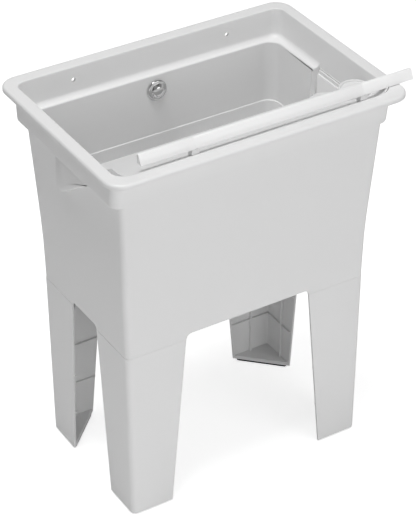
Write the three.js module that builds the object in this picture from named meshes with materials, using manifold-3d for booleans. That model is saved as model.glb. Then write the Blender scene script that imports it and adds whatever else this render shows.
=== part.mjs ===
// Free-standing moulded utility laundry sink: a thermoplastic tub with a sloping scrub bed, four
// plug-in corner legs on rubber glides, a chrome-capped overflow, a plug waste and a loose front rail.
// Millimetres, +Z up, X along the width, the front apron faces -Y.
import * as THREE from 'three';
import { mergeVertices } from 'three/addons/utils/BufferGeometryUtils.js';
import Module from 'manifold-3d';

const wasm = await Module();
wasm.setup();

// ---------------------------------------------------------------- driving dimensions
const GAP = 0.3; // clearance kept between touching pieces
const SKIN = 4.5; // wall thickness of the mouldings
const CORNER_STEPS = 7; // segments on each rounded corner
const ROUND_STEPS = 32; // segments around turned pieces

const RIM = { width: 650, depth: 454, top: 825, radius: 38, lip: 11, round: 5, hollow: 3.5 };
const HALF = { x: RIM.width / 2, y: RIM.depth / 2 };
const below = (drop) => RIM.top - drop; // height of a point that far under the rim

const MOUTH = { x: HALF.x - 26.5, front: HALF.y - 33, back: HALF.y - 29.5, radius: 20, flare: 2.5 };
// Narrow shelf at the foot of the splash, and the outside of the splash zone.
const LEDGE = { z: below(60), wallX: HALF.x - 31.5, wallBack: HALF.y - 33.5, cove: 10 };
const COLLAR = { x: HALF.x - 21, bottom: below(75), step: 25, round: 6, radius: 18 };
const BODY = [ // outside of the apron: height, half width, half depth
  { z: below(433), x: HALF.x - 52, y: HALF.y - 59.5 },
  { z: below(339), x: HALF.x - 49.5, y: HALF.y - 59 },
  { z: below(290), x: HALF.x - 47.5, y: HALF.y - 57 },
  { z: below(189), x: HALF.x - 43, y: HALF.y - 49.5 },
  { z: below(73), x: HALF.x - 37, y: HALF.y - 42 },
];
const FOOT = BODY[0]; // lower edge of the apron, where the legs plug in
const APRON = BODY[BODY.length - 1]; // upper edge of the apron, under the collar
const BODY_RADIUS = 12;
// Scrub bed, which falls from the front wall to the deep basin.
const BED = { rearY: HALF.y - 189, rearZ: below(124), frontZ: below(6), x: HALF.x - 33.5, cove: 25 };
const PIT_LEVELS = [ // inside of the deep basin behind the bed, and the wall left around it
  { drop: 259, inX: 82, inFront: 28, inBack: 84, r: 14, wall: 5 },
  { drop: 256.5, inX: 71, inFront: 17, inBack: 73, r: 20, wall: 5 },
  { drop: 249, inX: 64, inFront: 10, inBack: 66, r: 24, wall: 5 },
  { drop: 235, inX: 60.5, inFront: 7, inBack: 62.5, r: 26, wall: 5 },
  { drop: 189, inX: 56.5, inFront: 4.5, inBack: 58, r: 26, wall: 5 },
  { drop: 187, inX: 54.5, inFront: 3, inBack: 56, r: 26, wall: 5 },
  { drop: 124, inX: 51, inFront: 0, inBack: 51.5, r: 26, frontR: 6, wall: 8.6 },
  { drop: 63, inX: 48, inFront: 0, inBack: 47.5, r: 26, frontR: 3, wall: 8.6 },
  { drop: 60, inX: 46.4, inFront: 0, inBack: 46, r: 27, frontR: 3 },
  { drop: 57, inX: 45.5, inFront: 0, inBack: 45, r: 28, frontR: 3 },
].map(({ drop, inX, inFront, inBack, ...rest }) => ({
  z: below(drop),
  x: HALF.x - inX,
  front: BED.rearY + inFront,
  back: HALF.y - inBack,
  ...rest,
}));
const PIT_FLOOR = PIT_LEVELS[0].z;
const FLOOR_SKIN = 5;
const BULGE = { // bay that stands out at each end, round the scrub bed
  x: HALF.x - 25.5,
  rear: BED.rearY + 2,
  top: below(68),
  knee: below(141),
  footY: BED.rearY - 14,
  footZ: below(149.5),
  frontY: BED.rearY - 120,
  frontZ: below(76),
};
const SOAP = { x: HALF.x - 62, y: -(MOUTH.front - 70), z: below(19), radius: 32, dish: 27, sink: 3 };
const SOAP_DEEP = 30; // how far the boss of the dish reaches under the bed
const RIM_DISH = { // fall on the front rim towards the mouth
  inner: HALF.x - 38,
  outer: HALF.x - 57,
  start: -(HALF.y - 6.5),
  end: -(MOUTH.front - 1),
  drop: 5,
};
const WALL_HOLE = { x: HALF.x - 151, z: below(27.5), radius: 4.2 }; // fixing holes through the splash

const OPENING = { // gaps between the legs
  z: FOOT.z + 11,
  halfX: FOOT.x - 133,
  footX: FOOT.x - 96,
  sideZ: FOOT.z + 8,
  halfY: FOOT.y - 119.5,
  footY: FOOT.y - 89.5,
  radius: 12,
};
const GLIDE = { high: 4, inset: 5 };
const LEG = {
  top: FOOT.z - GAP,
  bottom: GLIDE.high + GAP,
  proud: 0.8,
  footX: FOOT.x - 4,
  footY: FOOT.y + 0.7,
  radius: 12,
  sole: 9,
  joint: 1.5,
};
const LEG_RIB = { deep: 5, thick: 2.5, levels: [FOOT.z / 4, FOOT.z / 2 + 1], inX: 40, inY: 28, top: FOOT.z - 20 };
const TONGUE = { top: FOOT.z + 36, bottom: FOOT.z - 18, thick: 4, inset: 7, chamfer: 8, play: 0.4 };
const LEG_SCREW = { y: OPENING.footY + 34, z: FOOT.z + 20, shank: 2, head: 4.5, headDeep: 2.6, tip: 2.6 };

const WASTE = {
  x: 0,
  y: BED.rearY + 66,
  flange: 35,
  rise: 2.5,
  bore: 21,
  body: 24.5,
  bottom: PIT_FLOOR - 54,
  bar: 4,
};
const WASTE_NUT = { radius: 38, high: 12, lobes: 8, notch: 3 };
const TAIL = { outer: 20, inner: 17.5, bottom: WASTE.bottom - 80 };
const PLUG = { top: 20.4, bottom: 19.2, high: 13, knob: 6.5, neck: 4, knobHigh: 12, sunk: 15.5 };

const OVERFLOW = { z: below(93), sleeve: 14.2, bore: 11, ring: 21.5, dome: 14.5, gasket: 1.7, windows: 6 };
const OVERFLOW_NUT = { radius: 17, high: 6.5 - GAP, lobes: 8, notch: 0.9 };
const ELBOW = { reach: 20, bend: 12, drop: 34, wall: 2.5 };
const HOSE = {
  outer: 12.6,
  inner: 10,
  bendZ: WASTE.bottom + 26,
  portY: WASTE.y + 62,
  inletZ: WASTE.bottom - 26,
};

const RAIL = { // loose rail across the front of the mouth: lower front edge, upper front edge and back
  length: RIM.width - 52,
  shift: 55,
  z: RIM.top + 1,
  topZ: RIM.top + 23,
  frontY: -(MOUTH.front - 4),
  topY: -(MOUTH.front - 18.6),
  rear: -(MOUTH.front - 24),
  edge: 1.5,
};
const RAIL_FOOT = { apart: RIM.width - 280, wide: 16, frontY: RAIL.frontY + 0.5, rearY: RAIL.rear - 2 };

// ---------------------------------------------------------------- materials
const plastic = (color, roughness) => new THREE.MeshStandardMaterial({ color, roughness, metalness: 0 });
const TUB_GREY = 0xdedede;
const RAIL_WHITE = 0xf4f4f4;
const RUBBER_BLACK = 0x26272a;
const FITTING_WHITE = 0xe9e9e6;
const chrome = () => new THREE.MeshStandardMaterial({ color: 0xd2d4d8, roughness: 0.12, metalness: 1 });
const steel = () => new THREE.MeshStandardMaterial({ color: 0xa9abad, roughness: 0.35, metalness: 1 });

// ---------------------------------------------------------------- solids
/** Turns a closed geometry into a solid that can be joined and cut. */
function solid(geometry) {
  const bare = geometry.index ? geometry.toNonIndexed() : geometry.clone();
  bare.deleteAttribute('normal');
  bare.deleteAttribute('uv');
  const merged = mergeVertices(bare, 1e-4);
  return new wasm.Manifold(new wasm.Mesh({
    numProp: 3,
    vertProperties: merged.attributes.position.array,
    triVerts: new Uint32Array(merged.index.array),
  }));
}

/** Turns a solid back into a named mesh with its own material. */
function piece(name, body, material) {
  const { vertProperties, triVerts, numProp, numVert } = body.getMesh();
  const positions = new Float32Array(numVert * 3);
  for (let i = 0; i < numVert; i++) {
    positions.set(vertProperties.subarray(i * numProp, i * numProp + 3), i * 3);
  }
  const indexed = new THREE.BufferGeometry();
  indexed.setAttribute('position', new THREE.BufferAttribute(positions, 3));
  indexed.setIndex(new THREE.BufferAttribute(triVerts, 1));
  const geometry = indexed.toNonIndexed();
  geometry.computeVertexNormals();
  const mesh = new THREE.Mesh(geometry, material);
  mesh.name = name;
  return mesh;
}

const joined = (parts) => parts.reduce((sum, part) => sum.add(part));
const less = (body, cuts) => cuts.reduce((left, cut) => left.subtract(cut), body);

/** Unit rounded square: corner centres at (+-1, +-1), corner radius 1. */
function unitSquare() {
  const shape = new THREE.Shape();
  shape.absarc(1, 1, 1, 0, Math.PI / 2);
  shape.absarc(-1, 1, 1, Math.PI / 2, Math.PI);
  shape.absarc(-1, -1, 1, Math.PI, 1.5 * Math.PI);
  shape.absarc(1, -1, 1, 1.5 * Math.PI, 2 * Math.PI);
  return shape;
}

/**
 * Upright block through a stack of rounded rectangles. Each level gives its height z, half width x,
 * its front and back (distances from the origin towards -Y and +Y) and its corner radius r.
 */
function loft(levels) {
  const steps = levels.length - 1;
  const options = { depth: steps, steps, bevelEnabled: false, curveSegments: CORNER_STEPS };
  const geometry = new THREE.ExtrudeGeometry(unitSquare(), options);
  const at = geometry.attributes.position;
  for (let i = 0; i < at.count; i++) {
    const level = levels[Math.round(at.getZ(i))];
    const sideX = Math.sign(at.getX(i));
    const sideY = Math.sign(at.getY(i));
    const reach = sideY > 0 ? level.back : level.front;
    const r = sideY > 0 ? level.r : level.frontR ?? level.r;
    const x = sideX * (level.x - r) + r * (at.getX(i) - sideX);
    const y = sideY * (reach - r) + r * (at.getY(i) - sideY);
    at.setXYZ(i, x, y, level.z);
  }
  return solid(geometry);
}

/** Prism whose outline changes straight from one list of points to another. */
function morph(lower, upper, z0, z1) {
  const shape = new THREE.Shape(lower);
  const geometry = new THREE.ExtrudeGeometry(shape, { depth: 1, bevelEnabled: false });
  const at = geometry.attributes.position;
  for (let i = 0; i < at.count; i++) {
    const high = at.getZ(i) > 0.5;
    const spot = new THREE.Vector2(at.getX(i), at.getY(i));
    const k = lower.findIndex((p) => p.distanceTo(spot) < 1e-3);
    const to = high ? upper[k] : lower[k];
    at.setXYZ(i, to.x, to.y, high ? z1 : z0);
  }
  return solid(geometry);
}

const outline = (pairs) => new THREE.Shape(pairs.map(([u, v]) => new THREE.Vector2(u, v)));
const extruded = (shape, depth) =>
  new THREE.ExtrudeGeometry(shape, { depth, bevelEnabled: false, curveSegments: CORNER_STEPS });

/** Shape drawn in (Y, Z), extruded along X from x0 to x1. */
function alongX(shape, x0, x1) {
  const toX = new THREE.Matrix4().makeBasis(
    new THREE.Vector3(0, 1, 0), new THREE.Vector3(0, 0, 1), new THREE.Vector3(1, 0, 0));
  return solid(extruded(shape, x1 - x0).applyMatrix4(toX).translate(x0, 0, 0));
}

/** Shape drawn in (X, Z), extruded along Y from y0 to y1. */
function alongYGeometry(shape, y0, y1) {
  const toY = new THREE.Matrix4().makeBasis(
    new THREE.Vector3(1, 0, 0), new THREE.Vector3(0, 0, 1), new THREE.Vector3(0, -1, 0));
  return extruded(shape, y1 - y0).applyMatrix4(toY).translate(0, y1, 0);
}
const alongY = (shape, y0, y1) => solid(alongYGeometry(shape, y0, y1));

const upright = (shape, z0, z1) => solid(extruded(shape, z1 - z0).translate(0, 0, z0));
const block = (x0, x1, y0, y1, z0, z1) =>
  solid(new THREE.BoxGeometry(x1 - x0, y1 - y0, z1 - z0)
    .translate((x0 + x1) / 2, (y0 + y1) / 2, (z0 + z1) / 2));

/** Turned piece about +Z: profile points are [radius, height], listed from the bottom up the outside. */
function turned(profile, steps = ROUND_STEPS) {
  const points = profile.map(([r, h]) => new THREE.Vector2(r, h));
  if (profile[0][0] > 0) points.push(points[0].clone());
  return new THREE.LatheGeometry(points, steps).rotateX(Math.PI / 2);
}
const ring = (outer, inner, z0, z1, steps) =>
  turned([[inner, z0], [outer, z0], [outer, z1], [inner, z1]], steps);
const rod = (radius, z0, z1, steps) => turned([[0, z0], [radius, z0], [radius, z1], [0, z1]], steps);

/** Rectangle with both lower corners rounded, in the plane of the shape. */
function troughShape(half, bottom, top, radius) {
  const shape = new THREE.Shape();
  shape.moveTo(-half, top);
  shape.lineTo(-half, bottom + radius);
  shape.absarc(-half + radius, bottom + radius, radius, Math.PI, 1.5 * Math.PI);
  shape.absarc(half - radius, bottom + radius, radius, 1.5 * Math.PI, 2 * Math.PI);
  shape.lineTo(half, top);
  return shape;
}

// ---------------------------------------------------------------- tub
const bodyLevels = (inset, bottom, top) => BODY.map(({ x, y }, i) => ({
  z: [bottom, ...BODY.slice(1, -1).map((level) => level.z), top][i],
  x: x - inset,
  front: y - inset,
  back: y - inset,
  r: BODY_RADIUS - inset / 2,
}));

const flangeUnder = RIM.top - RIM.lip;
const rimLevel = (z, inset) => ({
  z,
  x: HALF.x - inset,
  front: HALF.y - inset,
  back: HALF.y - inset,
  r: RIM.radius - inset,
});
const roundOver = (angle) => RIM.round * (1 - Math.cos(angle));
const flangeLevels = [rimLevel(flangeUnder, 0)];
for (let i = 0; i <= 4; i++) {
  const angle = (i / 4) * (Math.PI / 2);
  flangeLevels.push(rimLevel(RIM.top - RIM.round + RIM.round * Math.sin(angle), roundOver(angle)));
}

const collarTop = RIM.top - RIM.hollow;
const collarLevels = [ // rounded foot, then a slight draft up to the rim
  { rise: 0, out: -COLLAR.round, front: APRON.y, r: COLLAR.radius - 4 },
  { rise: COLLAR.round * 0.3, out: -COLLAR.round * 0.3, front: APRON.y, r: COLLAR.radius },
  { rise: COLLAR.round, out: 0, front: APRON.y + 0.5, r: COLLAR.radius },
  { rise: COLLAR.step, out: 0.4, behind: 1, front: MOUTH.front - 6.5, r: COLLAR.radius },
].map(({ rise, out, behind = out, front, r }) => ({
  z: COLLAR.bottom + rise,
  x: COLLAR.x + out,
  front,
  back: LEDGE.wallBack + SKIN + behind,
  r,
}));
collarLevels.push({
  z: collarTop,
  x: COLLAR.x + 1,
  front: MOUTH.front + SKIN,
  back: MOUTH.back + SKIN,
  r: COLLAR.radius + 2,
});
const collar = loft(collarLevels);

const bedSlope = (BED.frontZ - BED.rearZ) / (BED.rearY + MOUTH.front);
const bedAt = (y) => BED.rearZ + (BED.rearY - y) * bedSlope;
const bedSheetDrop = SKIN * Math.hypot(1, bedSlope);

// Outside of the bay under the bed: upright rear edge, then a slope that rises to the collar.
function bulgeShape(inset) {
  const slope = new THREE.Vector2(BULGE.frontY - BULGE.footY, BULGE.frontZ - BULGE.footZ).normalize();
  const inward = new THREE.Vector2(slope.y, -slope.x).multiplyScalar(inset);
  return outline([
    [BULGE.rear - inset, BULGE.top],
    [BULGE.frontY + inward.x, BULGE.top],
    [BULGE.frontY + inward.x, BULGE.frontZ + inward.y],
    [BULGE.footY + inward.x, BULGE.footZ + inward.y],
    [BULGE.rear - 6 - inset / 2, BULGE.footZ + 2 + inset],
    [BULGE.rear - inset, BULGE.knee + inset / 2],
  ]);
}

const bedUnder = (y) => bedAt(y) - bedSheetDrop;
const apronInner = APRON.y - SKIN;
const hollowFrontY = -(MOUTH.front - 3);
const collarFloor = COLLAR.bottom + SKIN;
const bedMeetsFloorY = BED.rearY - (collarFloor + bedSheetDrop - BED.rearZ) / bedSlope;
const outside = joined([
  loft(flangeLevels),
  collar,
  loft(bodyLevels(0, FOOT.z, APRON.z)),
  alongX(bulgeShape(0), -BULGE.x, BULGE.x),
]);

// Hollow of the skirt, of the collar round the ledge, under the bed and inside the bulges.
const collarHollow = {
  x: COLLAR.x - SKIN,
  front: apronInner,
  back: LEDGE.wallBack,
  r: COLLAR.radius - SKIN,
};
const hollows = [
  loft(bodyLevels(SKIN, FOOT.z - 10, collarFloor + 1)),
  loft([{ z: collarFloor, ...collarHollow }, { z: LEDGE.z - SKIN, ...collarHollow }]),
  alongX(outline([
    [-apronInner, collarFloor],
    [bedMeetsFloorY, collarFloor],
    [hollowFrontY, bedUnder(hollowFrontY)],
  ]), -collarHollow.x, collarHollow.x),
  alongX(bulgeShape(SKIN), -(BULGE.x - SKIN), BULGE.x - SKIN),
];

// Wall of the deep basin and the block the scrub bed is sunk into.
const shellLevels = PIT_LEVELS.filter(({ z }) => z < LEDGE.z).map((level) => ({
  z: level.z - 2,
  x: level.x + level.wall,
  front: -(level.front - SKIN),
  back: level.back + FLOOR_SKIN,
  r: level.r + SKIN,
  frontR: (level.frontR ?? level.r) + SKIN,
}));
shellLevels[0].z = PIT_FLOOR - FLOOR_SKIN;
shellLevels[shellLevels.length - 1].z = LEDGE.z - 1;
const pitShell = loft(shellLevels);
const bedBlock = alongX(outline([
  [hollowFrontY - SKIN, bedUnder(hollowFrontY - SKIN)],
  [BED.rearY, bedUnder(BED.rearY)],
  [BED.rearY, RIM.top - 5],
  [hollowFrontY - SKIN, RIM.top - 5],
]), -(COLLAR.x - 1), COLLAR.x - 1);
const flangeHollow = loft([
  rimLevel(flangeUnder - 2, SKIN),
  rimLevel(flangeUnder + RIM.hollow, SKIN),
]).subtract(collar);

const mouthLevels = [
  { z: LEDGE.z, inset: LEDGE.cove },
  { z: LEDGE.z + 1.4, inset: LEDGE.cove * 0.55 },
  { z: LEDGE.z + 4.6, inset: LEDGE.cove * 0.2 },
  { z: LEDGE.z + LEDGE.cove, inset: 0 },
].map(({ z, inset }) => ({
  z,
  x: LEDGE.wallX - inset,
  front: MOUTH.front,
  back: LEDGE.wallBack - inset,
  r: MOUTH.radius - inset / 3,
}));
[[RIM.top - 2.5, 0], [RIM.top - 0.7, 0.8], [RIM.top + 0.1, MOUTH.flare], [RIM.top + 3, MOUTH.flare + 0.2]]
  .forEach(([z, flare]) => mouthLevels.push({
    z,
    x: MOUTH.x + flare,
    front: MOUTH.front + flare,
    back: MOUTH.back + flare,
    r: MOUTH.radius + flare,
  }));

const bayEnds = { front: MOUTH.front, back: BED.rearY + 0.5 };
const bay = loft([
  { z: BED.rearZ - 60, x: BED.x, ...bayEnds, r: 6 },
  { z: LEDGE.z - 8, x: BED.x, ...bayEnds, r: 6 },
  { z: LEDGE.z - 7, x: LEDGE.wallX, ...bayEnds, r: 7 },
  { z: LEDGE.z + LEDGE.cove + 1, x: LEDGE.wallX, ...bayEnds, r: 7 },
]);
// Space above the bed: a trough with coved sides, sheared so that its floor falls towards the back.
const bedShear = new THREE.Matrix4().set(
  1, 0, 0, 0,
  0, 1, 0, 0,
  0, -bedSlope, 1, BED.rearZ + BED.rearY * bedSlope,
  0, 0, 0, 1);
const troughTop = 2 * (RIM.top - BED.rearZ);
const overBedGeometry = alongYGeometry(
  troughShape(BED.x + 8, 0, troughTop, BED.cove + 8), -HALF.y, HALF.y);
const overBed = solid(overBedGeometry.applyMatrix4(bedShear));
const splash = loft(mouthLevels);
const soapBoss = solid(rod(SOAP.radius, bedAt(SOAP.y) - SOAP_DEEP, SOAP.z, 28).translate(SOAP.x, SOAP.y, 0));
const soapDish = solid(turned([
  [0, SOAP.z - SOAP.sink],
  [SOAP.dish - 2, SOAP.z - SOAP.sink],
  [SOAP.dish, SOAP.z - SOAP.sink + 2],
  [SOAP.dish, SOAP.z + 1],
  [0, SOAP.z + 1],
], 28).translate(SOAP.x, SOAP.y, 0));
const pit = loft(PIT_LEVELS.map((level) => ({ ...level, front: -level.front })));
const cavity = joined([splash.add(bay).intersect(overBed).subtract(soapBoss), soapDish, pit]);

// The overflow sits square to the drafted back wall.
function heightMix(levels, z, key) {
  const i = levels.findIndex((level) => level.z >= z);
  const low = levels[i - 1];
  return low[key] + ((levels[i][key] - low[key]) * (z - low.z)) / (levels[i].z - low.z);
}
const probe = 20; // height over which the draft is read
const wallFace = heightMix(PIT_LEVELS, OVERFLOW.z, 'back');
const wallTilt = -Math.atan2(heightMix(PIT_LEVELS, OVERFLOW.z + probe, 'back') - wallFace, probe);
const wallTiltDegrees = THREE.MathUtils.radToDeg(wallTilt);
const overflowTilt = new THREE.Euler(wallTilt, 0, 0);
const overflowSpot = new THREE.Vector3(0, wallFace, OVERFLOW.z);
const wallDeep = (heightMix(BODY, OVERFLOW.z, 'y') - wallFace) * Math.cos(wallTilt);

// Shallow fall on the front rim towards the mouth, running out before the corners.
const rimDish = alongX(outline([
  [RIM_DISH.start, RIM.top],
  [RIM_DISH.end, RIM.top - RIM_DISH.drop],
  [RIM_DISH.end + 3, RIM.top + 3],
  [RIM_DISH.start, RIM.top + 3],
]), -HALF.x, HALF.x).intersect(upright(outline([
  [-RIM_DISH.inner, RIM_DISH.end + 3],
  [-RIM_DISH.outer, RIM_DISH.start - 3],
  [RIM_DISH.outer, RIM_DISH.start - 3],
  [RIM_DISH.inner, RIM_DISH.end + 3],
]), RIM.top - 12, RIM.top + 5));

/** Opening between two legs: rounded upper corners, sides that spread towards the floor. */
function openingShape(half, foot, top) {
  const shape = new THREE.Shape();
  const low = LEG.bottom;
  const r = OPENING.radius;
  const lean = (foot - half) / (top - low);
  shape.moveTo(-foot, low - 10);
  shape.lineTo(-half - lean * r, top - r);
  shape.quadraticCurveTo(-half, top, -half + r, top);
  shape.lineTo(half - r, top);
  shape.quadraticCurveTo(half, top, half + lean * r, top - r);
  shape.lineTo(foot, low - 10);
  return shape;
}
const frontOpening = openingShape(OPENING.halfX, OPENING.footX, OPENING.z);
const sideOpening = openingShape(OPENING.halfY, OPENING.footY, OPENING.sideZ);
const legOpenings = [
  alongY(frontOpening, -HALF.y, HALF.y),
  alongX(sideOpening, -HALF.x, HALF.x),
];

const toY = (geometry) => geometry.rotateX(-Math.PI / 2); // +Z axis laid along +Y
const toX = (geometry) => geometry.rotateY(Math.PI / 2); // +Z axis laid along +X
const drill = (radius, x, y, z, length) =>
  solid(toY(rod(radius, -length / 2, length / 2, 20)).translate(x, y, z));

const screwSkirt = FOOT.x - SKIN;
const screwHoles = [];
for (const sx of [-1, 1]) {
  for (const sy of [-1, 1]) {
    const hole = toX(rod(LEG_SCREW.shank + GAP, screwSkirt - 2, screwSkirt + 3.2, 14));
    hole.translate(0, sy * LEG_SCREW.y, LEG_SCREW.z);
    if (sx < 0) hole.rotateZ(Math.PI).translate(0, 2 * sy * LEG_SCREW.y, 0);
    screwHoles.push(solid(hole));
  }
}
const hosePort = drill(HOSE.outer + 3, WASTE.x, HOSE.portY, HOSE.inletZ + 3, 30);
const wasteHole = solid(rod(WASTE.body + 1, PIT_FLOOR - 20, PIT_FLOOR + 20).translate(WASTE.x, WASTE.y, 0));
const overflowHole = drill(OVERFLOW.sleeve + 1, 0, 0, 0, 40)
  .rotate([wallTiltDegrees, 0, 0]).translate(0, wallFace, OVERFLOW.z);
const wallHoles = [-1, 1].map((side) =>
  drill(WALL_HOLE.radius, side * WALL_HOLE.x, MOUTH.back, WALL_HOLE.z, 30));
const moulding = less(outside, hollows).add(pitShell.add(bedBlock).intersect(outside));
const openings = [wasteHole, overflowHole, hosePort, ...wallHoles, ...legOpenings, ...screwHoles];
const tub = less(moulding, [cavity, flangeHollow, rimDish, ...openings]);

// ---------------------------------------------------------------- legs, drawn in the +X +Y corner
function legPoints(z) {
  const t = (LEG.top - z) / (LEG.top - LEG.bottom);
  const mix = (a, b) => a + (b - a) * t;
  const outX = mix(FOOT.x + LEG.proud, LEG.footX);
  const outY = mix(FOOT.y, LEG.footY);
  const inX = mix(OPENING.halfX + LEG.joint, OPENING.footX);
  const inY = mix(OPENING.halfY + LEG.joint, OPENING.footY);
  const points = [
    [inX, outY],
    [inX, outY - SKIN],
    [outX - SKIN - 4, outY - SKIN],
    [outX - SKIN, outY - SKIN - 4],
    [outX - SKIN, inY],
    [outX, inY],
  ].map(([x, y]) => new THREE.Vector2(x, y));
  for (let i = 0; i <= CORNER_STEPS; i++) {
    const angle = (i / CORNER_STEPS) * (Math.PI / 2);
    const x = outX - LEG.radius + LEG.radius * Math.cos(angle);
    const y = outY - LEG.radius + LEG.radius * Math.sin(angle);
    points.push(new THREE.Vector2(x, y));
  }
  return { points, outX, outY, inX, inY };
}

/** Plate that fills the corner between both leg walls, with a straight slanting inner edge. */
function cornerPlate(z0, z1, inset) {
  const foot = legPoints(z0);
  const cut = inset * Math.SQRT2;
  const corner = foot.points.slice(6).map((p) => new THREE.Vector2(p.x - inset, p.y - inset));
  const edge = [
    new THREE.Vector2(foot.inX + cut, foot.outY - inset),
    new THREE.Vector2(foot.inX + cut, foot.outY - inset - SKIN),
    new THREE.Vector2(foot.outX - inset - SKIN, foot.inY + cut),
    new THREE.Vector2(foot.outX - inset, foot.inY + cut),
  ];
  return upright(new THREE.Shape([...edge, ...corner]), z0, z1);
}

function legSolid() {
  const low = legPoints(LEG.bottom);
  const high = legPoints(LEG.top);
  const walls = morph(low.points, high.points, LEG.bottom, LEG.top);
  const reach = LEG_RIB.deep + SKIN;
  const ribs = [];
  for (const z of LEG_RIB.levels) {
    const at = legPoints(z);
    ribs.push(block(at.inX + 2, at.outX - 2, at.outY - reach, at.outY - 2, z, z + LEG_RIB.thick));
    ribs.push(block(at.outX - reach, at.outX - 2, at.inY + 2, at.outY - 2, z, z + LEG_RIB.thick));
  }
  const ribLow = LEG.bottom + LEG.sole - 1;
  const ribX = OPENING.footX + LEG_RIB.inX;
  const ribY = OPENING.footY + LEG_RIB.inY;
  ribs.push(block(ribX, ribX + 3, high.outY - reach, high.outY - 2, ribLow, LEG_RIB.top));
  ribs.push(block(low.outX - reach, low.outX - 2, ribY, ribY + 3, ribLow, LEG_RIB.top));
  // Tongue that plugs up inside the apron corner.
  const faceX = FOOT.x - SKIN - TONGUE.play;
  const faceY = FOOT.y - SKIN - TONGUE.play;
  const tongueL = (z0, z1, outX, outY) => upright(outline([
    [high.inX + TONGUE.inset, faceY - TONGUE.thick],
    [faceX - TONGUE.thick - TONGUE.chamfer / 2, faceY - TONGUE.thick],
    [faceX - TONGUE.thick, faceY - TONGUE.thick - TONGUE.chamfer / 2],
    [faceX - TONGUE.thick, high.inY + TONGUE.inset],
    [outX, high.inY + TONGUE.inset],
    [outX, outY - TONGUE.chamfer],
    [outX - TONGUE.chamfer, outY],
    [high.inX + TONGUE.inset, outY],
  ]), z0, z1);
  const hole = toX(rod(LEG_SCREW.shank + GAP, 0, 20, 14)).translate(faceX - 14, LEG_SCREW.y, LEG_SCREW.z);
  const body = joined([
    walls,
    ...ribs,
    cornerPlate(LEG.bottom, LEG.bottom + LEG.sole, 0),
    tongueL(TONGUE.bottom, TONGUE.top, faceX, faceY),
    tongueL(TONGUE.bottom, LEG.top - GAP, high.outX - 2, high.outY - 2),
  ]);
  return body.subtract(solid(hole));
}
const legBody = legSolid();
const glideBody = cornerPlate(0, GLIDE.high, GLIDE.inset);
const screwHeadX = FOOT.x - SKIN - TONGUE.play - TONGUE.thick - GAP;
const screwBody = solid(toX(turned([
  [0, -LEG_SCREW.headDeep],
  [LEG_SCREW.head * 0.7, -LEG_SCREW.headDeep],
  [LEG_SCREW.head, -LEG_SCREW.headDeep * 0.4],
  [LEG_SCREW.head, 0],
  [LEG_SCREW.shank, 0],
  [LEG_SCREW.shank, TONGUE.thick + LEG_SCREW.tip],
  [0, TONGUE.thick + LEG_SCREW.tip + 0.6],
], 14)).translate(screwHeadX, LEG_SCREW.y, LEG_SCREW.z));

// ---------------------------------------------------------------- waste
const floorUnder = PIT_FLOOR - FLOOR_SKIN;
const seat = PIT_FLOOR + 2; // underside of the waste flange, on its gasket
const wasteBar = (turn) => solid(new THREE.BoxGeometry(2 * WASTE.bore + 2, WASTE.bar, 4)
  .rotateZ(turn).translate(0, 0, seat - 20));
const wasteBody = joined([
  solid(turned([
    [WASTE.bore, WASTE.bottom],
    [WASTE.body, WASTE.bottom],
    [WASTE.body, seat],
    [WASTE.flange, seat],
    [WASTE.flange - 1, seat + WASTE.rise * 0.6],
    [WASTE.flange - 5, seat + WASTE.rise],
    [WASTE.bore + 3, seat + WASTE.rise * 0.8],
    [WASTE.bore, seat - 3],
  ])),
  wasteBar(0),
  wasteBar(Math.PI / 2),
]);
const washerTop = floorUnder - GAP;
const washerLow = washerTop - 3;
const wasteGasket = solid(ring(WASTE.flange - 2, WASTE.body + GAP, PIT_FLOOR + GAP, seat - GAP));
const wasteWasher = solid(ring(WASTE.flange, WASTE.body + GAP, washerLow, washerTop));
const nutTop = washerLow - GAP;

/** Ring nut with finger lobes round it. */
function lobedNut({ radius, high, lobes, notch }, bore, top) {
  const count = lobes * 6;
  const points = [];
  for (let i = 0; i < count; i++) {
    const angle = (i / count) * 2 * Math.PI;
    const reach = radius - notch * (0.5 - 0.5 * Math.cos(lobes * angle));
    points.push(new THREE.Vector2(reach * Math.cos(angle), reach * Math.sin(angle)));
  }
  const shape = new THREE.Shape(points);
  const hole = new THREE.Path();
  hole.absarc(0, 0, bore, 0, 2 * Math.PI, true);
  shape.holes.push(hole);
  const options = { depth: high, bevelEnabled: false, curveSegments: 14 };
  return new THREE.ExtrudeGeometry(shape, options).translate(0, 0, top - high);
}
const wasteNut = solid(lobedNut(WASTE_NUT, WASTE.body + GAP, nutTop));
const teeTop = WASTE.bottom - GAP;
const tee = less(joined([
  solid(turned([
    [TAIL.inner, TAIL.bottom],
    [TAIL.outer, TAIL.bottom],
    [TAIL.outer, teeTop - 18],
    [WASTE.body, teeTop - 14],
    [WASTE.body, teeTop],
    [TAIL.inner, teeTop],
  ])),
  solid(toY(rod(HOSE.inner - GAP, TAIL.inner + 1, TAIL.outer + 20, 20)).translate(0, 0, HOSE.inletZ)),
]), [
  solid(toY(rod(HOSE.inner - 2.5, 5, TAIL.outer + 21, 20)).translate(0, 0, HOSE.inletZ)),
]);
const plugLow = seat - PLUG.sunk;
const knobLow = plugLow + PLUG.high;
const plug = solid(turned([
  [0, plugLow],
  [PLUG.bottom, plugLow],
  [PLUG.top, knobLow],
  [PLUG.neck, knobLow],
  [PLUG.neck, knobLow + PLUG.knobHigh / 2],
  [PLUG.knob, knobLow + PLUG.knobHigh - 4],
  [PLUG.knob, knobLow + PLUG.knobHigh],
  [0, knobLow + PLUG.knobHigh + 1.5],
]));

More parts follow.
